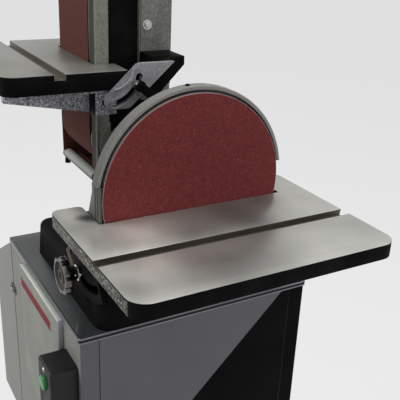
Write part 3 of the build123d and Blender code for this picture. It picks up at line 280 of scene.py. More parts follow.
@dataclass(frozen=True)
class SheetPaint:
    """Stoved enamel on pressed sheet steel: even, satin, with a fine orange peel."""

    name: str
    colour: str
    wear_and_painted_light: str
    roughness: float = 0.5
    gloss: float = 0.3
    peel_mm: float = 1.6

    def material(self) -> Material:
        """Build the paint with faint clouding and a peel.

        Returns:
            The material.
        """
        paint = Paint(self.name)
        cloud = paint.noise(size_mm=90.0, detail=5.0)
        paint.bump(paint.noise(self.peel_mm, detail=2.0), strength=0.08, depth_mm=0.2)
        shade = paint.ramp(cloud, (0.3, self.wear_and_painted_light), (0.62, self.colour))
        return paint.finish(shade, paint.around(cloud, self.roughness, spread=0.2), self.gloss)


@dataclass(frozen=True)
class BandedCover:
    """Pale enamel on the pressed front cover, with one printed red band."""

    name: str
    colour: str
    wear_and_painted_light: str
    band: str
    band_from: tuple[float, float]
    band_to: tuple[float, float]

    def material(self) -> Material:
        """Build the enamel; the band is a box between two corners, each an X and a Z in the frame.

        Returns:
            The material.
        """
        paint = Paint(self.name)
        axes = paint.node("SeparateXYZ", {"Vector": paint.at}).outputs
        across, up = (paint.calc("COMPARE", axes[axis], (low + high) / 2, (high - low) / 2)
                      for axis, low, high in zip("XZ", self.band_from, self.band_to))
        faded = paint.ramp(paint.noise(size_mm=60.0, detail=5.0), (0.35, self.wear_and_painted_light), (0.6, self.colour))
        paint.bump(paint.noise(size_mm=2.0, detail=2.0), strength=0.06, depth_mm=0.2)
        banded = paint.mix(paint.calc("MULTIPLY", across, up), faded, linear(self.band))
        return paint.finish(banded, roughness=0.45, gloss=0.04)


@dataclass(frozen=True)
class Hammertone:
    """Hammer-finish enamel on castings: small round dimples that settle into lighter and darker flakes."""

    name: str
    pit: str
    colour: str
    flake: str
    dimple_mm: float = 2.6
    roughness: float = 0.45
    gloss: float = 0.35
    height_light: tuple[float, float, float, float] | None = None

    def material(self) -> Material:
        """Build the dimples from cells, each with a tone of its own.

        The last field, when set, gives two heights in millimetres and the share of light kept at each: painted
        light, darker low down and lighter high up.

        Returns:
            The material.
        """
        paint = Paint(self.name)
        sway = paint.noise(size_mm=9.0, detail=2.0, output="Color")
        bent = paint.node("Mix", {"data_type": "VECTOR", 0: 0.003, 4: paint.at, 5: sway}).outputs[1]
        tone, _, dimple = paint.cells(self.dimple_mm, bent)
        colour = paint.ramp(tone, (0.05, self.pit), (0.45, self.colour), (0.7, self.colour), (1.0, self.flake))
        # Painted light: the colour darkens lower down and brightens higher up
        if self.height_light:
            low, high, under, over = self.height_light
            height = paint.node("SeparateXYZ", {"Vector": paint.at}).outputs["Z"]
            colour = paint.mix(1.0, colour, paint.span(height, (low * MM, high * MM, under, over)), "MULTIPLY")
        paint.bump(dimple, strength=0.3, depth_mm=0.4)
        return paint.finish(colour, self.roughness, self.gloss)


@dataclass(frozen=True)
class CastEnamel:
    """Semi-gloss enamel over sand-cast iron: soft waves and small pits under the paint."""

    name: str
    colour: str
    dust: str
    roughness: float = 0.5
    gloss: float = 0.07

    def material(self) -> Material:
        """Build the enamel with casting texture and a little dust on it.

        Returns:
            The material.
        """
        paint = Paint(self.name)
        dusty = paint.ramp(paint.noise(size_mm=45.0, detail=5.0), (0.42, self.colour), (0.85, self.dust))
        paint.bump(paint.noise(size_mm=2.4, detail=5.0, roughness=0.6), strength=0.18, depth_mm=0.4)
        return paint.finish(dusty, self.roughness, self.gloss)


@dataclass(frozen=True)
class GroundIron:
    """Surface-ground grey iron: a fine parallel lay, soft stains and a broad metallic sheen."""

    name: str
    colour: str
    stain: str
    lay: tuple[float, float, float]
    roughness: float = 0.3
    streaks: float = 0.16
    metallic: float = 0.7
    wear_and_painted_light: tuple[tuple[float, float, float, float], ...] = ()

    def material(self) -> Material:
        """Build the grinding lay.

        lay gives the streaks' size along each axis; the last field gives patches of painted light and shade,
        each by its X, Y, radius and the share of light kept in its middle. Sizes are in millimetres.

        Returns:
            The material.
        """
        paint = Paint(self.name)
        stretch = paint.node("Mapping", {"Scale": [per_mm(s) for s in self.lay], "Vector": paint.at}).outputs[0]
        streak = paint.node("TexNoise", {"Scale": 1.0, "Detail": 3.0, "Vector": stretch}).outputs["Fac"]
        cloud = paint.noise(size_mm=70.0, detail=6.0, roughness=0.6)
        stains = paint.around(cloud, middle=0.505, spread=0.45)
        mixed = paint.node("Mix", {"data_type": "FLOAT", 0: self.streaks, 2: stains, 3: streak}).outputs[0]
        colour = paint.ramp(mixed, (0.38, self.stain), (0.58, self.colour))
        # Patches of painted light and shade: each lightens or darkens the colour towards its middle
        for x, y, radius, left in self.wear_and_painted_light:
            reach = paint.reach((x * MM, y * MM, 0.0), (1.0, 1.0, 0.0))
            patch = paint.span(reach, (0.0, radius * MM, left, 1.0), "SMOOTHSTEP")
            colour = paint.mix(1.0, colour, patch, "MULTIPLY")
        paint.bump(streak, strength=0.05, depth_mm=0.05)
        rough = paint.around(cloud, self.roughness, spread=0.14)
        return paint.finish(colour, rough, metallic=self.metallic)


@dataclass(frozen=True)
class GritCloth:
    """Aluminium-oxide grit glued to cloth: matt, faintly speckled, with a paler frayed edge.

    Real grit of about 0.4 mm is too fine to show, so it is drawn about three times as coarse.
    """

    name: str
    colour: str
    dark: str
    speck: str
    grit_mm: float = 1.3
    rim: tuple[float, float] | None = None
    rim_colour: str = "#a58a88"

    def material(self) -> Material:
        """Build the grit; rim gives the height of the disc's axis and the radius where its edge begins.

        Returns:
            The material.
        """
        paint = Paint(self.name)
        tone, height, _ = paint.cells(self.grit_mm, paint.at)
        grit = paint.ramp(tone, (0.0, self.dark), (0.4, self.colour), (0.9, self.colour), (1.0, self.speck))
        cloud = paint.noise(size_mm=9.0, detail=6.0, roughness=0.65)
        colour = paint.mix(1.0, grit, paint.around(cloud, middle=1.0, spread=0.8), "MULTIPLY")
        if self.rim:
            axis_z, edge = self.rim
            reach = paint.reach((0.0, 0.0, axis_z), (0.0, 1.0, 1.0))
            colour = paint.mix(paint.calc("GREATER_THAN", reach, edge), colour, linear(self.rim_colour))
        paint.bump(height, strength=0.4, depth_mm=0.3)
        return paint.finish(colour, roughness=0.85, gloss=0.2)


@dataclass(frozen=True)
class BareMetal:
    """Bare metal, cast, turned or plated: metallic, with a fine uneven grain."""

    name: str
    colour: str
    stain: str
    roughness: float
    grain_mm: float = 1.2
    bump: float = 0.08

    def material(self) -> Material:
        """Build the metal with clouds in its colour and roughness, and a fine grain.

        Returns:
            The material.
        """
        paint = Paint(self.name)
        cloud = paint.noise(size_mm=18.0, detail=4.0)
        paint.bump(paint.noise(self.grain_mm, detail=4.0), self.bump, depth_mm=0.15)
        rough = paint.around(cloud, self.roughness, spread=0.2)
        return paint.finish(paint.mix(cloud, linear(self.stain), linear(self.colour)), rough, metallic=1.0)


@dataclass(frozen=True)
class MouldedPlastic:
    """Moulded plastic or rubber: one colour through, with a spark-eroded grain."""

    name: str
    colour: str
    roughness: float
    grain_mm: float = 1.0
    bump: float = 0.1

    def material(self) -> Material:
        """Build the plastic with its grain and a slight change of tone.

        Returns:
            The material.
        """
        paint = Paint(self.name)
        depth = paint.around(paint.noise(size_mm=25.0, detail=3.0), middle=1.0, spread=0.3)
        paint.bump(paint.noise(self.grain_mm, detail=2.0), self.bump, depth_mm=0.1)
        return paint.finish(paint.mix(1.0, linear(self.colour), depth, "MULTIPLY"), self.roughness, gloss=0.3)


# Patches of painted light on the disc table: bright ones are painted sheen and reflection, dark ones painted
# shade,
# and the darkest, beside the column's foot, painted shadow of the column with some dust:
# X, Y and radius in millimetres, and the share of light kept in the middle
TABLE_SHEEN_AND_SHADE = (
    (112.0, -182.0, 50.0, 1.5), (121.0, -172.0, 19.0, 0.3), (127.0, -159.0, 22.0, 0.15),
    (190.0, -115.0, 85.0, 1.75), (292.0, -150.0, 75.0, 1.45), (205.0, 50.0, 120.0, 0.42),
    (165.0, 115.0, 50.0, 0.65), (315.0, 10.0, 90.0, 0.62), (365.0, -60.0, 120.0, 0.5),
    (238.0, -50.0, 72.0, 0.52), (343.0, -192.0, 42.0, 0.7), (244.0, 60.0, 52.0, 0.6),
)

# The cover's red band: its distance from the cover's left, right and upper edges, and its lower edge
BAND_LEFT, BAND_RIGHT, BAND_TOP, BAND_FOOT = 6 * MM, 38 * MM, 23 * MM, 41 * MM

# Width of the disc's frayed edge
DISC_FRAY = 0.6 * MM


class Palette:
    """Every material of the machine, each built once."""

    def __init__(self) -> None:
        """Build the materials."""
        # Stoved enamel on sheet: flat, satin colour that goes a little cloudy with handling
        self.panel = SheetPaint("grey_stoved_enamel", "#74746f", "#6d6d68").material()
        self.side = SheetPaint("violet_grey_stoved_enamel", "#5f5d62", "#59575c").material()
        self.side_black = SheetPaint("black_stoved_enamel", "#171617", "#131213",
                                     roughness=0.6, gloss=0.01).material()
        self.top = SheetPaint("dark_grey_stoved_enamel", "#383b3c", "#313435",
                              roughness=0.25, gloss=0.6).material()
        # Painted highlight for the edges of the top pan's lip, and painted shade for the lip's face between
        # them
        self.top_edge_highlight = SheetPaint("edge_worn_grey_enamel", "#7d7a80", "#8f8c92").material()
        self.top_lip_shade = SheetPaint("edge_shade_grey_enamel", "#2f2e31", "#29282b", gloss=0.05).material()
        # Painted highlight for the front cover's upward faces, and painted light for its right end
        self.cover_top_highlight = SheetPaint("pale_edge_enamel", "#c3c7be", "#b3b7ae").material()
        self.cover_end_light = SheetPaint("violet_edge_enamel", "#b9b6bd", "#a8a5ad").material()
        low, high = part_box("front_cover")
        self.cover = BandedCover("pale_stoved_enamel_with_band", "#85877f", "#7c7e77", "#6e1b28",
                                 band_from=(low.x + BAND_LEFT, high.z - BAND_FOOT),
                                 band_to=(high.x - BAND_RIGHT, high.z - BAND_TOP)).material()
        self.scoop = SheetPaint("pale_grey_enamel", "#9f9f9a", "#93938d", roughness=0.4).material()
        # Painted shade for the underside of the scoop's lip
        self.scoop_under_shade = SheetPaint("dusty_grey_enamel", "#6d6d68", "#62625d").material()
        self.scoop_inside = SheetPaint("enamel_under_sanding_dust", "#643d32", "#4a2d25", gloss=0.05).material()
        # Painted light: the knob's hub is painted much paler than its enamel, against the shadow of the knob's
        # head
        self.hub = SheetPaint("violet_dipped_enamel", "#cfcbd3", "#bbb7bf").material()
        # Painted light and shade on metal, as a dull paint: a matt grey on the disc plate's rim in place of its
        # lit metal edge, and painted shade in the knob's dished face
        self.plate_rim_light = SheetPaint("dusty_machined_rim", "#6d6765", "#625c5a").material()
        self.knob_well_shade = SheetPaint("grime_on_cast_aluminium", "#57524f", "#46423f", gloss=0.1).material()
        # Hammer finish: the flakes catch the light one by one, so castings look like salt and pepper
        self.hammer = Hammertone("grey_hammertone_enamel", "#5c5b57", "#6b6a66", "#7d7c77").material()
        # The guard's colour is painted darker low down and lighter high up: painted light from above
        self.guard = Hammertone("fine_grey_hammertone_enamel", "#686763", "#6e6d69", "#757470", dimple_mm=1.8,
                                roughness=0.6, height_light=(1108.0, 1178.0, 0.58, 1.4)).material()
        # Painted light: a lighter copy of the guard's hammertone for its front faces
        self.guard_front_light = Hammertone("edge_worn_hammertone_enamel", "#777672", "#7e7d79", "#878682",
                                     dimple_mm=1.8, roughness=0.6).material()
        self.end = Hammertone("coarse_grey_hammertone_enamel", "#1c1b18", "#57564f", "#98978f",
                              gloss=0.05).material()
        self.olive = Hammertone("olive_hammertone_enamel", "#3e3f39", "#484942", "#53544c").material()
        # Painted light: the arm's olive hammertone is a lighter copy of the housing's, against the shade under
        # the belt table
        self.arm = Hammertone("pale_olive_hammertone_enamel", "#6a6b62", "#78796f", "#86877c").material()
        # Painted highlight for the bead along the arm's edge
        self.bead = Hammertone("worn_olive_hammertone_enamel", "#6d6f68", "#7e8079", "#8d8f88").material()
        self.violet = Hammertone("violet_grey_hammertone_enamel", "#717075", "#807f83", "#908f93",
                                 dimple_mm=3.2).material()
        # A salt and pepper copy of the violet hammertone, painted lighter against the shade under the belt
        # table: painted light
        self.salt = Hammertone("salt_and_pepper_hammertone_enamel", "#5f5d63", "#a19fa7", "#dfdde3",
                               dimple_mm=2.4).material()
        # Painted highlight for the quadrant's raised ribs
        self.ridge = Hammertone("worn_violet_hammertone_enamel", "#9b9a9d", "#aeadb0", "#c0bfc2").material()
        # Black enamel on iron: deep and quiet, with the sand casting just felt under it
        self.black = CastEnamel("black_enamel_on_iron", "#0f0f0f", "#191918", gloss=0.015).material()
        # Painted shade for the arm's front face
        self.arm_front_shade = CastEnamel("olive_black_enamel_on_iron", "#3b3c37", "#474842", gloss=0.02).material()
        self.rubbed = CastEnamel("rubbed_black_enamel", "#4a453c", "#5c564b", roughness=0.6).material()
        # Ground iron: mirrors what stands behind it in a broad blur, under a faint lay
        # The disc table carries patches of painted light and shade
        self.table = GroundIron("ground_grey_iron", "#bab9b3", "#a7a6a0", lay=(2.0, 160.0, 2.0),
                                roughness=0.38, metallic=0.75, wear_and_painted_light=TABLE_SHEEN_AND_SHADE).material()
        self.belt_table = GroundIron("ground_grey_iron_belt_table", "#8e8d87", "#7f7e78",
                                     lay=(160.0, 2.0, 2.0), roughness=0.42).material()
        self.slot = GroundIron("milled_slot_iron", "#5a554d", "#4b463f", lay=(1.5, 60.0, 1.5),
                               roughness=0.5).material()
        # Grit on cloth: no shine at all, a dense speckle of one colour
        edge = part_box("abrasive_disc")[1].y - DISC_FRAY
        self.disc = GritCloth("red_grit_disc_cloth", "#6b2b2b", "#5f2627", "#814543",
                              rim=(middle_of("arbor_shaft").z, edge)).material()
        self.belt = GritCloth("brown_grit_belt_cloth", "#4f2820", "#40201a", "#633a31", grit_mm=1.0).material()
        # Bare metals: cast ones dull and mottled, machined ones smooth, plated ones bright
        self.aluminium = BareMetal("turned_cast_aluminium", "#a9a8a4", "#93928d", 0.42).material()
        self.knob = BareMetal("tumbled_cast_aluminium", "#6e6a68", "#57534f", 0.32, bump=0.1).material()
        self.zinc = BareMetal("dull_zinc_plated_steel", "#6f716d", "#585a57", 0.45).material()
        self.steel = BareMetal("machined_steel", "#b3b3b0", "#9b9b98", 0.3).material()
        self.chrome = BareMetal("bright_plated_steel", "#d2d2d0", "#c4c4c2", 0.14, bump=0.02).material()
        # Moulded parts: even colour, a soft sheen and a fine grain
        self.rubber = MouldedPlastic("belt_rubber", "#1b1b1b", 0.75).material()
        self.plastic = MouldedPlastic("black_abs", "#0e0e0f", 0.55, bump=0.2).material()
        self.green = MouldedPlastic("green_abs", "#1f7a3c", 0.3).material()
        self.red = MouldedPlastic("red_abs", "#b3211f", 0.3).material()


# Modelling helpers


def object_mode() -> None:
    """Leave edit mode."""
    if bpy.context.mode != "OBJECT":
        bpy.ops.object.mode_set(mode="OBJECT")


def deselect_all() -> None:
    """Leave object mode clean, with nothing selected."""
    object_mode()
    bpy.ops.object.select_all(action="DESELECT")


def only(piece: Piece) -> None:
    """Select one piece and make it active.

    Args:
        piece: The piece.
    """
    deselect_all()
    piece.select_set(True)
    bpy.context.view_layer.objects.active = piece


def new_shape(operator: Callable[..., Any], **options: Any) -> Piece:
    """Add one of Blender's own shapes.

    Args:
        operator: The operator that adds it.
        options: The operator's options.

    Returns:
        The new piece, selected and active.
    """
    deselect_all()
    operator(**options)
    return bpy.context.object


def edit_all(piece: Piece) -> None:
    """Open a piece in edit mode with everything selected.

    Args:
        piece: The piece to open.
    """
    only(piece)
    bpy.ops.object.mode_set(mode="EDIT")
    bpy.ops.mesh.select_all(action="SELECT")


def edit_faces(piece: Piece, test: FaceTest) -> None:
    """Open a piece in edit mode with some of its faces selected.

    Args:
        piece: The piece to open.
        test: Takes a face's centre and normal, in the piece's own space.
    """
    only(piece)
    bpy.ops.object.mode_set(mode="EDIT")
    bpy.ops.mesh.select_mode(type="FACE")
    bpy.ops.mesh.select_all(action="DESELECT")
    object_mode()
    for face in piece.data.polygons:
        face.select = test(face.center, face.normal)
    bpy.ops.object.mode_set(mode="EDIT")


def cut(piece: Piece, point: Sequence[float], away: Sequence[float], fill: bool = True) -> None:
    """Cut a piece by a plane and drop what lies on one side.

    Args:
        piece: The piece to cut.
        point: A point on the plane.
        away: The plane's normal, towards the side that is dropped.
        fill: Whether the cut is closed with a face.
    """
    edit_all(piece)
    bpy.ops.mesh.bisect(plane_co=point, plane_no=away, use_fill=fill, clear_outer=True)
    object_mode()
    bpy.ops.object.shade_smooth_by_angle(angle=SMOOTH_ANGLE)


def score(piece: Piece, point: Sequence[float], across: Sequence[float]) -> None:
    """Cut a line all round a piece and keep both sides, so that they can be painted apart.

    Args:
        piece: The piece to score.
        point: A point on the cutting plane.
        across: The plane's normal.
    """
    edit_all(piece)
    bpy.ops.mesh.bisect(plane_co=point, plane_no=across)
    object_mode()


def settle(piece: Piece) -> None:
    """Put a piece's place into its mesh, so that the object stands at the origin."""
    only(piece)
    bpy.ops.object.transform_apply(location=True, rotation=True, scale=True)


def remove(piece: Piece) -> None:
    """Delete a pattern or a cutter that has done its work."""
    only(piece)
    bpy.ops.object.delete()


def carve(piece: Piece, cutter: Piece) -> None:
    """Take one piece's shape out of another, which is left selected.

    Args:
        piece: The piece to carve.
        cutter: The shape to take out of it.
    """
    carving = piece.modifiers.new("carving", "BOOLEAN")
    carving.operation = "DIFFERENCE"
    carving.object = cutter
    only(piece)
    bpy.ops.object.modifier_apply(modifier=carving.name)


def copy_of(pattern: Piece, name: str, place: Sequence[float],
            turn: Sequence[float] = (0.0, 0.0, 0.0)) -> Piece:
    """Copy a pattern to a place.

    Args:
        pattern: The piece to copy.
        name: The copy's name.
        place: Where the pattern's origin goes.
        turn: The copy's rotation.

    Returns:
        The copy, with its place in its mesh.
    """
    only(pattern)
    bpy.ops.object.duplicate(linked=False)
    piece = bpy.context.object
    piece.name = name
    piece.rotation_euler = turn
    piece.location = place
    settle(piece)
    return piece


def dress(piece: Piece, material: Material) -> None:
    """Give a piece one material all over."""
    piece.data.materials.clear()
    piece.data.materials.append(material)


def mount(piece: Piece, carrier: str, material: Material) -> None:
    """Finish a new piece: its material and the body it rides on.

    Args:
        piece: The piece.
        carrier: The CAD node whose body carries it.
        material: Its finish.
    """
    dress(piece, material)
    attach(piece, body_of_node(carrier))
    LOG.info("%s: %d faces", piece.name, len(piece.data.polygons))


def round_edges(piece: Piece, width_mm: float, segments: int = 2, angle: float = 30.0) -> None:
    """Round a piece's sharp edges with an applied bevel and smooth it.

    Args:
        piece: The piece to round.
        width_mm: The rounding's width.
        segments: Faces across the rounding.
        angle: Edges sharper than this many degrees are rounded.
    """
    only(piece)
    bevel = piece.modifiers.new("eased_edges", "BEVEL")
    bevel.width = width_mm * MM
    bevel.segments = segments
    bevel.limit_method = "ANGLE"
    bevel.angle_limit = math.radians(angle)
    bevel.miter_outer = "MITER_ARC"
    bpy.ops.object.modifier_apply(modifier=bevel.name)
    bpy.ops.object.shade_smooth_by_angle(angle=math.radians(angle + 5.0))


def eased(node: str, width_mm: float, material: Material, segments: int = 2) -> Piece:
    """Stand an eased copy in for a CAD node: its triangles merged and its edges rounded.

    Args:
        node: The CAD node.
        width_mm: The width of the edge rounding.
        material: The finish of the whole piece.
        segments: Faces across the rounding.

    Returns:
        The new piece, riding on the node's body.
    """
    deselect_all()
    piece = bpy.data.objects.new(node + "_finished", frame["nodes"][node].data.copy())
    bpy.context.scene.collection.objects.link(piece)
    edit_all(piece)
    bpy.ops.mesh.customdata_custom_splitnormals_clear()
    bpy.ops.mesh.remove_doubles(threshold=MERGE_BELOW)
    bpy.ops.mesh.dissolve_limited(angle_limit=FLAT_WITHIN)
    object_mode()
    round_edges(piece, width_mm, segments)
    mount(piece, node, material)
    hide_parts(node)
    return piece


def ease_all(*rows: tuple[Any, ...]) -> None:
    """Ease several CAD nodes, each given by a row of what eased() takes."""
    for row in rows:
        eased(*row)


def dress_nodes(material: Material, *nodes: str) -> None:
    """Give CAD nodes that stay as they are their finish.

    Args:
        material: The finish.
        nodes: The CAD nodes.
    """
    for node in nodes:
        piece = frame["nodes"][node]
        for slot in piece.material_slots:
            slot.link = "OBJECT"
            slot.material = material
        LOG.info("%s: %d faces", node, len(piece.data.polygons))


def paint_where(piece: Piece, material: Material, test: FaceTest) -> None:
    """Paint the faces of a piece that pass a test.

    Args:
        piece: The piece to paint.
        material: The finish for those faces.
        test: Takes a face's centre and normal, whose parts run from -1 to 1.
    """
    piece.data.materials.append(material)
    index = len(piece.data.materials) - 1
    for face in piece.data.polygons:
        if test(face.center, face.normal):
            face.material_index = index


# Fasteners


@dataclass(frozen=True)
class HexBolt:
    """Plated hexagon bolt head on a plain washer."""

    flats_mm: float = 10.0
    head_mm: float = 4.0
    chamfer_mm: float = 0.7
    washer_mm: float = 18.0
    washer_thick_mm: float = 1.6
    washer_edge_mm: float = 0.4
    dish_in_mm: float = 0.8
    dish_mm: float = 0.3
    dish_from: float = 0.45

    def model(self) -> Piece:
        """Model one bolt at the origin, its head facing up.

        Returns:
            The bolt.
        """
        washer_top, thick = self.washer_thick_mm * MM, self.head_mm * MM
        washer = new_shape(bpy.ops.mesh.primitive_cylinder_add, vertices=32, radius=self.washer_mm / 2 * MM,
                           depth=washer_top, location=(0.0, 0.0, washer_top / 2))
        edit_faces(washer, lambda c, n: n.z > 0.9)
        bpy.ops.mesh.bevel(offset=self.washer_edge_mm * MM, segments=2, affect="EDGES")
        corner = self.flats_mm / 2 / math.cos(math.pi / 6) * MM
        head = new_shape(bpy.ops.mesh.primitive_cylinder_add, vertices=6, radius=corner, depth=thick,
                         location=(0.0, 0.0, washer_top + thick / 2))
        edit_faces(head, lambda c, n: n.z > 0.9)
        bpy.ops.mesh.bevel(offset=self.chamfer_mm * MM, segments=2, affect="EDGES")
        edit_faces(head, lambda c, n: n.z > 0.9 and c.z > self.dish_from * thick)
        bpy.ops.mesh.inset(thickness=self.dish_in_mm * MM, depth=-self.dish_mm * MM)
        only(head)
        washer.select_set(True)
        bpy.ops.object.join()
        settle(head)
        return head


@dataclass(frozen=True)
class PanScrew:
    """Plated pan-head screw with a cross recess; shares are of the head's radius."""

    head_mm: float = 7.6
    dome_mm: float = 2.6
    recess_mm: float = 1.1
    foot_share: float = 0.25
    bar_long: float = 1.3
    bar_wide: float = 0.3

    def model(self) -> Piece:
        """Model one screw head at the origin, facing up.

        Returns:
            The head.
        """
        radius = self.head_mm / 2 * MM
        dome = self.dome_mm * MM
        foot = self.foot_share * radius
        head = new_shape(bpy.ops.mesh.primitive_uv_sphere_add, segments=24, ring_count=16, radius=radius)
        cut(head, (0.0, 0.0, foot), (0.0, 0.0, -1.0))
        edit_all(head)
        bpy.ops.transform.translate(value=(0.0, 0.0, -foot))
        squash = dome / ((1.0 - self.foot_share) * radius)
        bpy.ops.transform.resize(value=(1.0, 1.0, squash), center_override=(0.0, 0.0, 0.0))
        for long, wide in ((self.bar_long, self.bar_wide), (self.bar_wide, self.bar_long)):
            bar = new_shape(bpy.ops.mesh.primitive_cube_add, size=1.0, location=(0.0, 0.0, dome),
                            scale=(long * radius, wide * radius, 2 * self.recess_mm * MM))
            carve(head, bar)
            remove(bar)
        only(head)
        bpy.ops.object.shade_smooth_by_angle(angle=SMOOTH_ANGLE)
        return head


@dataclass
class Fixings:
    """All copies of one fastener, each modelled from the same first one."""

    name: str
    first: Piece
    material: Material
    count: int = 0

    def add(self, carrier: str, place: Sequence[float], facing: Facing) -> None:
        """Copy the fastener to a place.

        Args:
            carrier: The CAD node that it holds.
            place: The point of the surface under its head.
            facing: Where its head points.
        """
        self.count += 1
        turn = Vector(facing.value).to_track_quat("Z", "Y").to_euler()
        piece = copy_of(self.first, f"{self.name}_{self.count:02d}", place, turn)
        mount(piece, carrier, self.material)


# Sub-assemblies


@dataclass
class Stand:
    """Sheet-metal stand with its pans, panels, front cover and seam clip."""

    palette: Palette
    fold_mm: float = 0.9
    thin_mm: float = 0.4
    lip_top: float = 2.2 * MM
    lip_foot: float = 2.0 * MM
    plate_thick: float = 1.0 * MM
    plate_drop: float = 0.6 * MM
    plate_back: float = 158 * MM
    plate_slope: float = 1.45
    seam_gap: float = 1.8 * MM
    louvre_pitch: float = 26 * MM
    louvre_count: int = 7
    hood_length: float = 140 * MM
    hood_reach: float = 8.5 * MM
    hood_wall: float = 1.0 * MM

    def build(self) -> None:
        """Ease and dress the pans and panels, then add the side plate and the louvre hoods."""
        paint = self.palette
        eased("floor_pan", self.fold_mm, paint.panel)
        self.top_pan()
        for node, flank in (("front_panel", paint.side), ("back_panel", paint.side_black)):
            paint_where(eased(node, self.fold_mm, paint.panel), flank, lambda c, n: n.x > 0.5)
        ease_all(("left_panel", self.fold_mm, paint.panel), ("right_panel", self.fold_mm, paint.side_black))
        cover = eased("front_cover", self.thin_mm, paint.cover)
        # Painted highlight: the cover's upward faces painted pale; painted light: its right end painted lighter
        paint_where(cover, paint.cover_top_highlight, lambda c, n: n.z > 0.4)
        paint_where(cover, paint.cover_end_light, lambda c, n: n.x > 0.4)
        eased("seam_clip", 0.5, paint.zinc)
        box = eased("dust_box", self.fold_mm, paint.panel)
        cut(box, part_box("dust_box")[1] - Vector((self.seam_gap, 0.0, 0.0)), (1.0, 0.0, 0.0))
        self.side_plate()
        self.louvres()

    def top_pan(self) -> None:
        """Ease the top pan and mark the folds of its right lip, with painted highlights along both edges and
        painted shade on the face between.
        """
        pan = eased("top_pan", self.thin_mm, self.palette.top)
        low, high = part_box("top_pan")
        upper, lower = high.z - self.lip_top, low.z + self.lip_foot
        for z in (upper, lower):
            score(pan, (0.0, 0.0, z), (0.0, 0.0, 1.0))
        # Painted highlights on the lip's upper and lower folds, and painted shade on its face between
        paint_where(pan, self.palette.top_edge_highlight, lambda c, n: n.x > 0.3 and not lower < c.z < upper)
        paint_where(pan, self.palette.top_lip_shade, lambda c, n: n.x > 0.3 and lower < c.z < upper)

    def side_plate(self) -> None:
        """Lay the violet-grey plate on the black right side, its rear edge cut on a slant."""
        low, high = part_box("right_panel")
        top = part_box("top_pan")[0].z - self.plate_drop
        bottom = top - (self.plate_back - low.y) * self.plate_slope
        plate = new_shape(
            bpy.ops.mesh.primitive_cube_add, size=1.0,
            location=(high.x + self.plate_thick / 2, (low.y + self.plate_back) / 2, (top + bottom) / 2),
            scale=(self.plate_thick, self.plate_back - low.y, top - bottom))
        plate.name = "side_plate"
        settle(plate)
        cut(plate, (high.x, self.plate_back, top), (0.0, self.plate_slope, -1.0))
        edit_all(plate)
        bpy.ops.mesh.normals_make_consistent(inside=False)
        round_edges(plate, self.thin_mm)
        mount(plate, "right_panel", self.palette.side)
        paint_where(plate, self.palette.steel, lambda c, n: n.x < 0.7 and n.y > 0.2 and n.z < -0.2)

    def louvres(self) -> None:
        """Press a half-round hood over each louvre of the back panel."""
        hood = new_shape(bpy.ops.mesh.primitive_cylinder_add, vertices=32, radius=self.hood_reach,
                         depth=self.hood_length, rotation=(0.0, math.pi / 2, 0.0))
        settle(hood)
        for away in ((0.0, -1.0, 0.0), (0.0, 0.0, -1.0)):
            cut(hood, (0.0, 0.0, 0.0), away, fill=False)
        wall = hood.modifiers.new("wall", "SOLIDIFY")
        wall.thickness = self.hood_wall
        wall.offset = -1.0
        bpy.ops.object.modifier_apply(modifier=wall.name)
        round_edges(hood, width_mm=0.25)
        back, motor_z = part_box("back_panel")[1].y, middle_of("motor_shaft").z
        for step in range(self.louvre_count):
            rise = (step - (self.louvre_count - 1) / 2) * self.louvre_pitch
            place = (0.0, back, motor_z + rise - self.hood_reach / 2)
            piece = copy_of(hood, f"louvre_hood_{step + 1}", place)
            mount(piece, "back_panel", self.palette.panel)
        remove(hood)


@dataclass
class Base:
    """Black base casting with the arbor's pedestals and the disc's dust port."""

    palette: Palette

    def build(self) -> None:
        """Ease and dress the castings."""
        paint = self.palette
        ease_all(("base_casting", 1.2, paint.black, 3), ("right_pedestal", 2.0, paint.hammer, 3),
                 ("left_pedestal", 2.0, paint.hammer, 3), ("pulley_cover", 0.6, paint.hammer),
                 ("disc_dust_port", 0.5, paint.plastic))
        dress_nodes(paint.steel, "arbor_bearings")


@dataclass
class DiscHead:
    """Sanding disc on its plate, with the guard and the lower housing."""

    palette: Palette
    rim_deep: float = 3 * MM
    column_back: float = 10 * MM

    def build(self) -> None:
        """Ease and dress the disc and what surrounds it."""
        paint = self.palette
        plate = eased("disc_plate", 0.8, paint.aluminium)
        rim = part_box("disc_plate")[1].y - self.rim_deep
        axis_z = middle_of("arbor_shaft").z
        # Painted light: the plate's rim is painted matt grey instead of bare aluminium, so that it shows as a
        # pale lit edge
        paint_where(plate, paint.plate_rim_light,
                    lambda c, n: abs(n.x) < 0.5 and math.hypot(c.y, c.z - axis_z) > rim)
        dress_nodes(paint.disc, "abrasive_disc")
        guard = eased("disc_guard", 0.9, paint.guard)
        # Painted light: the guard's front faces painted lighter
        paint_where(guard, paint.guard_front_light, lambda c, n: n.x > 0.6)
        self.housing()
        eased("guard_bolts", 0.5, paint.steel)

    def housing(self) -> None:
        """Ease the housing and set the face of its far column back behind the disc."""
        piece = eased("disc_housing", 0.8, self.palette.olive)
        low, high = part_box("disc_housing")
        cutter = new_shape(bpy.ops.mesh.primitive_cube_add, size=1.0,
                           location=(high.x, high.y, (low.z + high.z) / 2),
                           scale=(2 * self.column_back, high.y, 2 * (high.z - low.z)))
        carve(piece, cutter)
        bpy.ops.object.shade_smooth_by_angle(angle=SMOOTH_ANGLE)
        remove(cutter)


# Insets that shape the lock knob's dished face: width and rise of each step, in millimetres
KNOB_STEPS = ((3.6, 0.0), (1.6, -4.6), (9.5, -0.4), (0.9, 3.6), (4.0, 0.0), (0.5, -2.0))


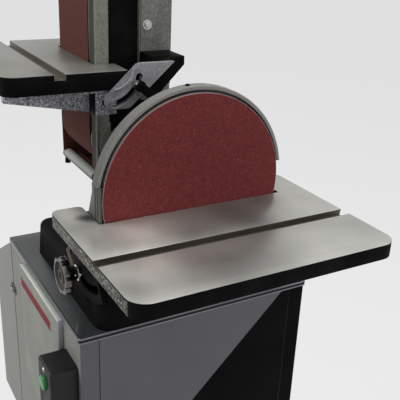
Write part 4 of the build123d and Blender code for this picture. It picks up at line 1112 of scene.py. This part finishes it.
@dataclass
class LockKnob:
    """Lock knob of the disc table: a dished cast head with eight flutes on the CAD's hub, nut and stud."""

    palette: Palette
    side: Side
    head_r: float = 30 * MM
    head_thick: float = 10 * MM
    front_round: float = 3.4 * MM
    back_round: float = 2.4 * MM
    flutes: int = 8
    flute_r: float = 7.2 * MM
    flute_at: float = 32.6 * MM
    well_r: float = 22.9 * MM
    nut_reach: float = 8.5 * MM

    def build(self) -> None:
        """Keep the CAD's hub, nut and stud, and put a rounded, dished and fluted head on them."""
        name = self.side.name.lower()
        end = self.side.value
        outer = max(abs(corner.y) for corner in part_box(f"{name}_lock_knob"))
        nut_end = max(abs(corner.y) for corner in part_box(f"{name}_trunnion")) + self.nut_reach
        knob = eased(f"{name}_lock_knob", 0.6, self.palette.knob)
        cut(knob, (0.0, end * (outer - self.head_thick), 0.0), (0.0, end, 0.0))
        # The hub beyond the nut gets the paler enamel, painted light against the head's shadow
        paint_where(knob, self.palette.hub, lambda c, n: abs(c.y) >= nut_end)
        paint_where(knob, self.palette.chrome, lambda c, n: abs(c.y) < nut_end)
        middle = middle_of(f"{name}_lock_knob")
        middle.y = end * (outer - self.head_thick / 2)
        head = self.head(middle)
        only(knob)
        head.select_set(True)
        bpy.ops.object.join()

    def head(self, middle: Vector) -> Piece:
        """Model the head.

        Args:
            middle: The middle of the head.

        Returns:
            The head, dressed, with its place in its mesh.
        """
        end = self.side.value
        head = new_shape(bpy.ops.mesh.primitive_cylinder_add, vertices=96, radius=self.head_r,
                         depth=self.head_thick, location=middle, rotation=(math.pi / 2, 0.0, 0.0))
        settle(head)
        edit_faces(head, lambda c, n: n.y * end > 0.9)
        bpy.ops.mesh.bevel(offset=self.front_round, segments=5, affect="EDGES", clamp_overlap=False)
        edit_faces(head, lambda c, n: n.y * end < -0.9)
        bpy.ops.mesh.bevel(offset=self.back_round, segments=4, affect="EDGES", clamp_overlap=False)
        front = middle.y + end * self.head_thick / 2
        edit_faces(head, lambda c, n: n.y * end > 0.9 and abs(c.y - front) < LEVEL_WITHIN)
        for width_mm, rise_mm in KNOB_STEPS:
            bpy.ops.mesh.inset(thickness=width_mm * MM, depth=rise_mm * MM)
        cutter = new_shape(bpy.ops.mesh.primitive_cylinder_add, vertices=32, radius=self.flute_r,
                           depth=3 * self.head_thick, rotation=(math.pi / 2, 0.0, 0.0))
        for step in range(self.flutes):
            turn = 2 * math.pi * (step + 0.5) / self.flutes
            cutter.location = middle + self.flute_at * Vector((math.cos(turn), 0.0, math.sin(turn)))
            bpy.context.view_layer.update()
            carve(head, cutter)
        remove(cutter)
        round_edges(head, width_mm=0.9, segments=3, angle=38.0)
        dress(head, self.palette.knob)
        # Painted shade: the dished face inside the flutes is painted darker
        paint_where(head, self.palette.knob_well_shade, lambda c, n: n.y * end > -0.5
                    and math.hypot(c.x - middle.x, c.z - middle.z) < self.well_r)
        return head


@dataclass
class DiscTable:
    """Disc table with its trunnions and lock knobs."""

    palette: Palette
    slot_ahead: float = 112.5 * MM
    slot_half: float = 9.8 * MM
    slot_depth: float = 12 * MM
    slot_clear: float = 0.25 * MM
    end_deep: float = 6 * MM
    end_drop: float = 2.4 * MM
    top_deep: float = 1.0 * MM
    rubbed_to: float = 34 * MM

    def build(self) -> None:
        """Ease the table and paint its ground top, its dark rim and its ends."""
        paint = self.palette
        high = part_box("disc_table")[1]
        table = eased("disc_table", 0.3, paint.black)
        paint_where(table, paint.end, lambda c, n: abs(n.y) > 0.995 and abs(c.y) > high.y - self.end_deep
                    and c.z < high.z - self.end_drop)
        paint_where(table, paint.table, lambda c, n: n.z > 0.3 and c.z > high.z - self.top_deep)
        slot_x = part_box("abrasive_disc")[1].x + self.slot_ahead
        paint_where(table, paint.slot, lambda c, n: abs(c.x - slot_x) < self.slot_half
                    and high.z - self.slot_depth < c.z < high.z - self.slot_clear
                    and (n.z > 0.5 or abs(n.x) > 0.8))
        for side in Side:
            self.trunnion(f"{side.name.lower()}_trunnion")
            LockKnob(paint, side).build()

    def trunnion(self, node: str) -> None:
        """Ease a trunnion, whose enamel is rubbed brown where it passes the base.

        Args:
            node: The trunnion's CAD node.
        """
        plate = eased(node, 0.8, self.palette.black)
        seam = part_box(node)[0].x + self.rubbed_to
        score(plate, (seam, 0.0, 0.0), (1.0, 0.0, 0.0))
        paint_where(plate, self.palette.rubbed, lambda c, n: c.x < seam)


@dataclass
class BeltHead:
    """Arm, drums, platen, sanding belt, belt guard and the belt's tension and tracking controls."""

    palette: Palette
    bead_wide: float = 7 * MM
    front_deep: float = 3 * MM
    rib: float = 26.2 * MM
    shade_z: float = 1115 * MM

    def build(self) -> None:
        """Ease and dress the arm and all that it carries."""
        paint = self.palette
        self.arm()
        ease_all(("arm_lock_lever", 1.2, paint.black), ("platen_bracket", 1.0, paint.hammer),
                 ("platen", 0.5, paint.steel), ("idler_carriage", 1.0, paint.steel),
                 ("carriage_rails", 0.8, paint.steel), ("idler_axle", 0.8, paint.steel),
                 ("idler_drum", 0.8, paint.aluminium), ("drive_drum", 0.8, paint.aluminium),
                 ("tracking_knob", 1.2, paint.plastic), ("spring_tube", 0.8, paint.steel),
                 ("tension_lever", 1.4, paint.steel), ("belt_guard", 0.6, paint.hammer))
        dress_nodes(paint.belt, "sanding_belt")

    def arm(self) -> None:
        """Ease the arm, with painted shade on its front, a painted highlight on the bead along its edge and
        black painted shade between its ribs.
        """
        paint = self.palette
        # The arm gets the lighter copy of the olive hammertone, painted light against the table's shade
        arm = eased("belt_arm", 1.0, paint.arm, segments=3)
        low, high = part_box("belt_arm")
        bead, front = high.x - self.bead_wide, low.y + self.front_deep
        near, far = low.y + self.rib, high.y - self.rib
        score(arm, (bead, 0.0, 0.0), (1.0, 0.0, 0.0))
        for edge in (near, far):
            score(arm, (0.0, edge, 0.0), (0.0, 1.0, 0.0))
        score(arm, (0.0, 0.0, self.shade_z), (0.0, 0.0, 1.0))
        # Painted shade on the arm's front face, a painted highlight on its bead, and black painted shade in the
        # recess between its ribs and low down behind the front rib
        paint_where(arm, paint.arm_front_shade, lambda c, n: n.y < -0.7 and c.y < front)
        paint_where(arm, paint.bead, lambda c, n: c.x > bead and c.y < front and n.x < 0.9)
        paint_where(arm, paint.black, lambda c, n: near < c.y < far or (c.y > near and c.z < self.shade_z))


@dataclass
class BeltTable:
    """Belt table with its support casting, slotted quadrant, bracket and lock handle."""

    palette: Palette
    top_deep: float = 1.0 * MM
    slot_middle: float = -140 * MM
    slot_half: float = 9.8 * MM
    slot_depth: float = 12 * MM
    slot_clear: float = 0.45 * MM
    shade_wide: float = 31 * MM
    shade_deep: float = 60 * MM
    collar_back: float = 12.2 * MM
    collar_long: float = 4 * MM
    # Reach of the chrome painted on the lock's upward front facets as a highlight
    highlight_to: float = 9 * MM
    pivot_y: float = -59.2 * MM
    quadrant_rise: float = 12 * MM
    quadrant_lip: float = 1.5 * MM
    quadrant_draft: tuple[float, float, float] = (-0.602, -0.542, 0.586)
    edge_ahead: float = 46 * MM
    rib_reach: float = 44 * MM
    rib_high: float = 1.3 * MM

    def build(self) -> None:
        """Ease the table and its supports and paint its ground top and bright parts."""
        paint = self.palette
        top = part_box("belt_table")[1].z
        table = eased("belt_table", 0.5, paint.black)
        paint_where(table, paint.belt_table, lambda c, n: n.z > 0.3 and c.z > top - self.top_deep)
        paint_where(table, paint.slot, lambda c, n: abs(c.y - self.slot_middle) < self.slot_half
                    and top - self.slot_depth < c.z < top - self.slot_clear
                    and (n.z > 0.5 or abs(n.y) > 0.8))
        # The support gets the lightened copy of the violet hammertone: painted light against the table's shade
        support = eased("belt_table_support", 1.0, paint.salt)
        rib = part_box("belt_table_support")[1]
        # Painted shade: the front faces of the support's block under the table painted black
        paint_where(support, paint.black, lambda c, n: n.y < -0.8 and c.x > rib.x - self.shade_wide
                    and c.y > rib.y - self.shade_deep)
        self.quadrant()
        eased("table_bracket", 1.0, paint.black)
        lock = eased("belt_table_lock", 1.0, paint.black)
        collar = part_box("belt_table_lock")[1].x - self.collar_back
        for x in (collar, collar + self.collar_long):
            score(lock, (x, 0.0, 0.0), (1.0, 0.0, 0.0))
        # A chrome ring at the collar, and chrome on the upward front facets of the lock as a painted highlight
        paint_where(lock, paint.chrome, lambda c, n: c.x < collar + self.collar_long
                    or (n.y < -0.25 and n.z > 0.25 and c.x < collar + self.highlight_to))

    def quadrant(self) -> None:
        """Undercut the quadrant's upper edge as the casting's draft does, paint its side faces black as shade
        and paint its raised ribs pale as highlights.
        """
        piece = eased("belt_table_quadrant", 0.5, self.palette.violet)
        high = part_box("belt_table_quadrant")[1]
        pivot_z = high.z - self.quadrant_rise
        edge = (high.x - self.quadrant_lip, self.pivot_y + self.edge_ahead, high.z)
        cut(piece, edge, self.quadrant_draft)
        # Painted shade: the quadrant's side faces that face across or down painted black
        paint_where(piece, self.palette.black, lambda c, n: abs(n.x) < 0.4 and n.z < 0.1)
        # Painted highlight: the tops of the raised ribs near the pivot painted pale
        paint_where(piece, self.palette.ridge, lambda c, n: c.x > high.x - self.rib_high
                    and math.hypot(c.y - self.pivot_y, c.z - pivot_z) < self.rib_reach)


@dataclass
class DustGear:
    """Scoop under the drive drum, chute and hose ports."""

    palette: Palette
    lip_r: float = 15 * MM
    lip_z: float = 923 * MM
    lip_near: float = 0.9 * MM
    lip_down: tuple[float, float, float] = (0.0, 0.629, 0.777)
    lip_slim: float = 0.68
    lip_skin: float = 0.6 * MM
    lip_cap: float = 9 * MM
    bolt_up: float = 1.5 * MM
    bolt_reach: float = 30 * MM
    bead_r: float = 1.6 * MM
    bead_in: float = 7 * MM

    def build(self) -> None:
        """Ease and dress the dust parts and roll a bead near the hose port's mouth."""
        self.scoop()
        ease_all(("dust_chute", 0.6, self.palette.panel), ("belt_dust_port", 0.5, self.palette.plastic))
        self.hose_bead()

    def scoop(self) -> None:
        """Slim the scoop's rolled lip, brown its inside with sanding dust and blacken the bolt under it."""
        paint = self.palette
        piece = eased("dust_scoop", 0.6, paint.panel)
        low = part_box("dust_scoop")[0]
        middle = middle_of("drive_drum")
        paint_where(piece, paint.scoop_inside, lambda c, n: n.dot(middle - c) > 0.0)
        axis = Vector((0.0, low.y + self.lip_r, self.lip_z))
        foot = axis - self.lip_r * Vector(self.lip_down)
        slim = foot + self.lip_slim * (axis - foot)
        edit_all(piece)
        bpy.ops.mesh.select_all(action="DESELECT")
        object_mode()
        for vertex in piece.data.vertices:
            reach = math.hypot(vertex.co.y - axis.y, vertex.co.z - axis.z)
            vertex.select = abs(reach - self.lip_r) < self.lip_near
        bpy.ops.object.mode_set(mode="EDIT")
        bpy.ops.transform.resize(value=(1.0, self.lip_slim, self.lip_slim), center_override=foot)
        score(piece, (low.x + self.lip_cap, 0.0, 0.0), (1.0, 0.0, 0.0))

        def on_lip(point: Vector) -> bool:
            """Tell whether a point is on the lip, past its cap."""
            reach = math.hypot(point.y - slim.y, point.z - slim.z)
            return point.x > low.x + self.lip_cap and reach < self.lip_slim * self.lip_r + self.lip_skin

        paint_where(piece, paint.scoop, lambda c, n: on_lip(c))
        # Painted shade: the lip's downward and sideways faces painted darker
        paint_where(piece, paint.scoop_under_shade, lambda c, n: on_lip(c) and n.z < 0.1)
        paint_where(piece, paint.black, lambda c, n: c.z < self.lip_z - self.lip_r + self.bolt_up
                    and c.x < low.x + self.bolt_reach)

    def hose_bead(self) -> None:
        """Spin a round bead about the belt's hose port, which keeps a hose from slipping off."""
        low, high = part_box("belt_dust_port")
        middle = middle_of("belt_dust_port")
        middle.x = low.x + self.bead_in
        bead = new_shape(bpy.ops.mesh.primitive_circle_add, vertices=12, radius=self.bead_r,
                         rotation=(math.pi / 2, 0.0, 0.0),
                         location=(middle.x, middle.y, middle.z + (high.z - low.z) / 2))
        bead.name = "hose_bead"
        settle(bead)
        edit_all(bead)
        bpy.ops.mesh.spin(steps=64, angle=2 * math.pi, center=middle, axis=(1.0, 0.0, 0.0))
        bpy.ops.mesh.select_all(action="SELECT")
        bpy.ops.mesh.remove_doubles(threshold=SEAM_BELOW)
        bpy.ops.mesh.normals_make_consistent(inside=False)
        object_mode()
        bpy.ops.object.shade_smooth()
        mount(bead, "belt_dust_port", self.palette.plastic)


@dataclass
class Drive:
    """Arbor shaft, motor, pulleys and V-belt, inside the stand."""

    palette: Palette

    def build(self) -> None:
        """Dress the drive."""
        dress_nodes(self.palette.steel, "arbor_shaft", "motor_shaft")
        dress_nodes(self.palette.black, "motor")
        dress_nodes(self.palette.panel, "motor_shelf")
        dress_nodes(self.palette.aluminium, "driven_pulley", "motor_pulley")
        dress_nodes(self.palette.rubber, "v_belt")


@dataclass
class Controls:
    """Push-button box and cord gland."""

    palette: Palette

    def build(self) -> None:
        """Ease and dress the controls."""
        paint = self.palette
        ease_all(("switch_box", 0.8, paint.plastic), ("start_button", 0.6, paint.green),
                 ("stop_button", 0.6, paint.red), ("cord_gland", 0.6, paint.plastic))


@dataclass
class Hardware:
    """Screws and bolts that hold the sheet parts on."""

    palette: Palette
    edge_in: float = 9 * MM
    panel_rows: int = 4
    row_in: float = 60 * MM
    box_share: float = 0.75
    guard_off: float = 12.5 * MM
    guard_sunk: float = 0.5 * MM
    flange_in: float = 12 * MM
    flange_shares: tuple[float, float] = (0.3, 0.55)
    foot_in: float = 20 * MM
    foot_up: float = 16 * MM

    def build(self) -> None:
        """Model each fastener once, copy it to its places and remove the first one."""
        screws = Fixings("pan_screw", PanScrew().model(), self.palette.steel)
        self.sheet_screws(screws)
        remove(screws.first)
        dark = Fixings("dark_screw", PanScrew(head_mm=9.0).model(), self.palette.black)
        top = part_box("disc_guard")[1].z - self.guard_sunk
        dark.add("disc_guard", (middle_of("disc_guard").x, -self.guard_off, top), Facing.UP)
        remove(dark.first)
        bolts = Fixings("hex_bolt", HexBolt().model(), self.palette.steel)
        self.cover_bolts(bolts)
        remove(bolts.first)

    def sheet_screws(self, screws: Fixings) -> None:
        """Screw down the back panel's sides, the dust box's outer side, the switch box and the seam clip.

        Args:
            screws: The screws.
        """
        low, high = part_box("back_panel")
        pitch = (high.z - low.z - 2 * self.row_in) / (self.panel_rows - 1)
        for x in (low.x + 2 * self.edge_in, high.x - 2 * self.edge_in):
            for row in range(self.panel_rows):
                screws.add("back_panel", (x, high.y, low.z + self.row_in + row * pitch), Facing.BACK)
        low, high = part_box("dust_box")
        for y in (low.y + self.edge_in, high.y - self.edge_in):
            for z in (low.z + self.edge_in, low.z + self.box_share * (high.z - low.z) - self.edge_in):
                screws.add("dust_box", (low.x, y, z), Facing.LEFT)
        low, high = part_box("switch_box")
        for z in (low.z + self.edge_in, high.z - self.edge_in):
            screws.add("switch_box", (middle_of("switch_box").x, low.y, z), Facing.FRONT)
        middle = middle_of("seam_clip")
        screws.add("seam_clip", (middle.x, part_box("seam_clip")[0].y, middle.z), Facing.FRONT)

    def cover_bolts(self, bolts: Fixings) -> None:
        """Bolt the belt guard's flange to the arm, and the pulley cover down at its foot, front and back.

        Args:
            bolts: The bolts.
        """
        low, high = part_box("belt_guard")
        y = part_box("belt_arm")[1].y - self.flange_in
        for share in self.flange_shares:
            bolts.add("belt_guard", (high.x, y, low.z + share * (high.z - low.z)), Facing.RIGHT)
        low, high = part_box("pulley_cover")
        for x in (low.x + self.foot_in, high.x - self.foot_in):
            bolts.add("pulley_cover", (x, low.y, low.z + self.foot_up), Facing.FRONT)
            bolts.add("pulley_cover", (x, high.y, low.z + self.foot_up), Facing.BACK)


# Studio


@dataclass
class Studio:
    """Pale floor, soft lamps and a camera at the photograph's angle."""

    azimuth: float = 59.45
    elevation: float = 22.34
    roll: float = 2.59
    place: tuple[float, float, float] = (0.9833, -0.4819, 1.3718)
    focal_px: float = 670.74
    image_px: float = 400.0
    sensor_mm: float = 36.0
    sight: float = 100.0
    floor_size: float = 60.0
    floor_glow: float = 0.8
    room_light: float = 0.42

    def camera(self) -> None:
        """Put the camera where the photograph was taken."""
        az, el, roll = (math.radians(v) for v in (self.azimuth, self.elevation, self.roll))
        back = Vector((math.sin(az) * math.cos(el), -math.cos(az) * math.cos(el), math.sin(el)))
        right = Vector((math.cos(az), math.sin(az), 0.0))
        up = back.cross(right)
        turned_right = right * math.cos(roll) + up * math.sin(roll)
        turned_up = up * math.cos(roll) - right * math.sin(roll)
        data = bpy.data.cameras.new("photo_camera")
        data.sensor_width = self.sensor_mm
        data.lens = self.focal_px * self.sensor_mm / self.image_px
        data.clip_end = self.sight
        camera = bpy.data.objects.new("photo_camera", data)
        bpy.context.scene.collection.objects.link(camera)
        turn = Matrix((turned_right, turned_up, back)).transposed().to_4x4()
        camera.matrix_world = Matrix.Translation(self.place) @ turn
        bpy.context.scene.camera = camera

    def lamp(self, name: str, place: Sequence[float], aim: Sequence[float], size: float, watts: float) -> None:
        """Add one square soft lamp.

        Args:
            name: The lamp's name.
            place: Where it stands.
            aim: The point it faces.
            size: Its side, in metres.
            watts: Its power.
        """
        data = bpy.data.lights.new(name, "AREA")
        data.size = size
        data.energy = watts
        lamp = bpy.data.objects.new(name, data)
        bpy.context.scene.collection.objects.link(lamp)
        lamp.location = place
        lamp.rotation_euler = (Vector(aim) - Vector(place)).to_track_quat("-Z", "Y").to_euler()

    def floor(self) -> None:
        """Lay the pale floor, which shows as an even light grey and keeps the machine's shadow."""
        floor = new_shape(bpy.ops.mesh.primitive_plane_add, size=self.floor_size, location=(0.0, 0.0, 0.0))
        floor.name = "studio_floor"
        paint = Paint("pale_studio_floor")
        paint.finish(linear("#e6e6e6"), roughness=0.9)
        share = paint.calc("MULTIPLY", seen_share(paint.tree), self.floor_glow)
        glow = paint.node("Emission", {"Color": linear("#ededed"), "Strength": 1.0})
        mixed = paint.node("MixShader", {0: share, 1: paint.shader.outputs[0], 2: glow.outputs[0]})
        feed(paint.output.inputs["Surface"], mixed.outputs[0])
        floor.data.materials.append(paint.result)

    def world(self) -> None:
        """Surround the scene with an even pale light."""
        world = bpy.data.worlds.new("pale_room")
        bpy.context.scene.world = world
        world.use_nodes = True
        tree = world.node_tree
        tree.nodes.clear()
        light = add_node(tree, "Background", {"Color": linear("#f2f3f5"), "Strength": self.room_light})
        shown = add_node(tree, "Background", {"Color": linear("#e6e6e6"), "Strength": 1.0})
        mixed = add_node(tree, "MixShader", {0: seen_share(tree), 1: light.outputs[0], 2: shown.outputs[0]})
        add_node(tree, "OutputWorld", {"Surface": mixed.outputs[0]})

    def build(self) -> None:
        """Set up the camera, the floor, the world and the lamps."""
        bpy.context.scene.view_settings.view_transform = "Standard"
        self.camera()
        self.floor()
        self.world()
        self.lamp("key_softbox", (-1.4, -2.6, 3.0), aim=(0.0, 0.0, 1.0), size=1.8, watts=85.0)
        self.lamp("top_softbox", (0.6, 0.6, 3.4), aim=(0.1, 0.0, 1.0), size=1.6, watts=44.0)
        self.lamp("right_fill", (3.0, 0.6, 1.8), aim=(0.1, 0.0, 0.9), size=1.6, watts=18.0)


def main() -> None:
    """Build every sub-assembly in order, then the studio."""
    logging.basicConfig(level=logging.INFO, format="%(message)s")
    palette = Palette()
    for assembly in (Stand, Base, DiscHead, DiscTable, BeltHead, BeltTable, DustGear, Drive, Controls,
                     Hardware):
        LOG.info("building %s", assembly.__name__)
        assembly(palette).build()
    Studio().build()


if __name__ == "__main__":
    main()
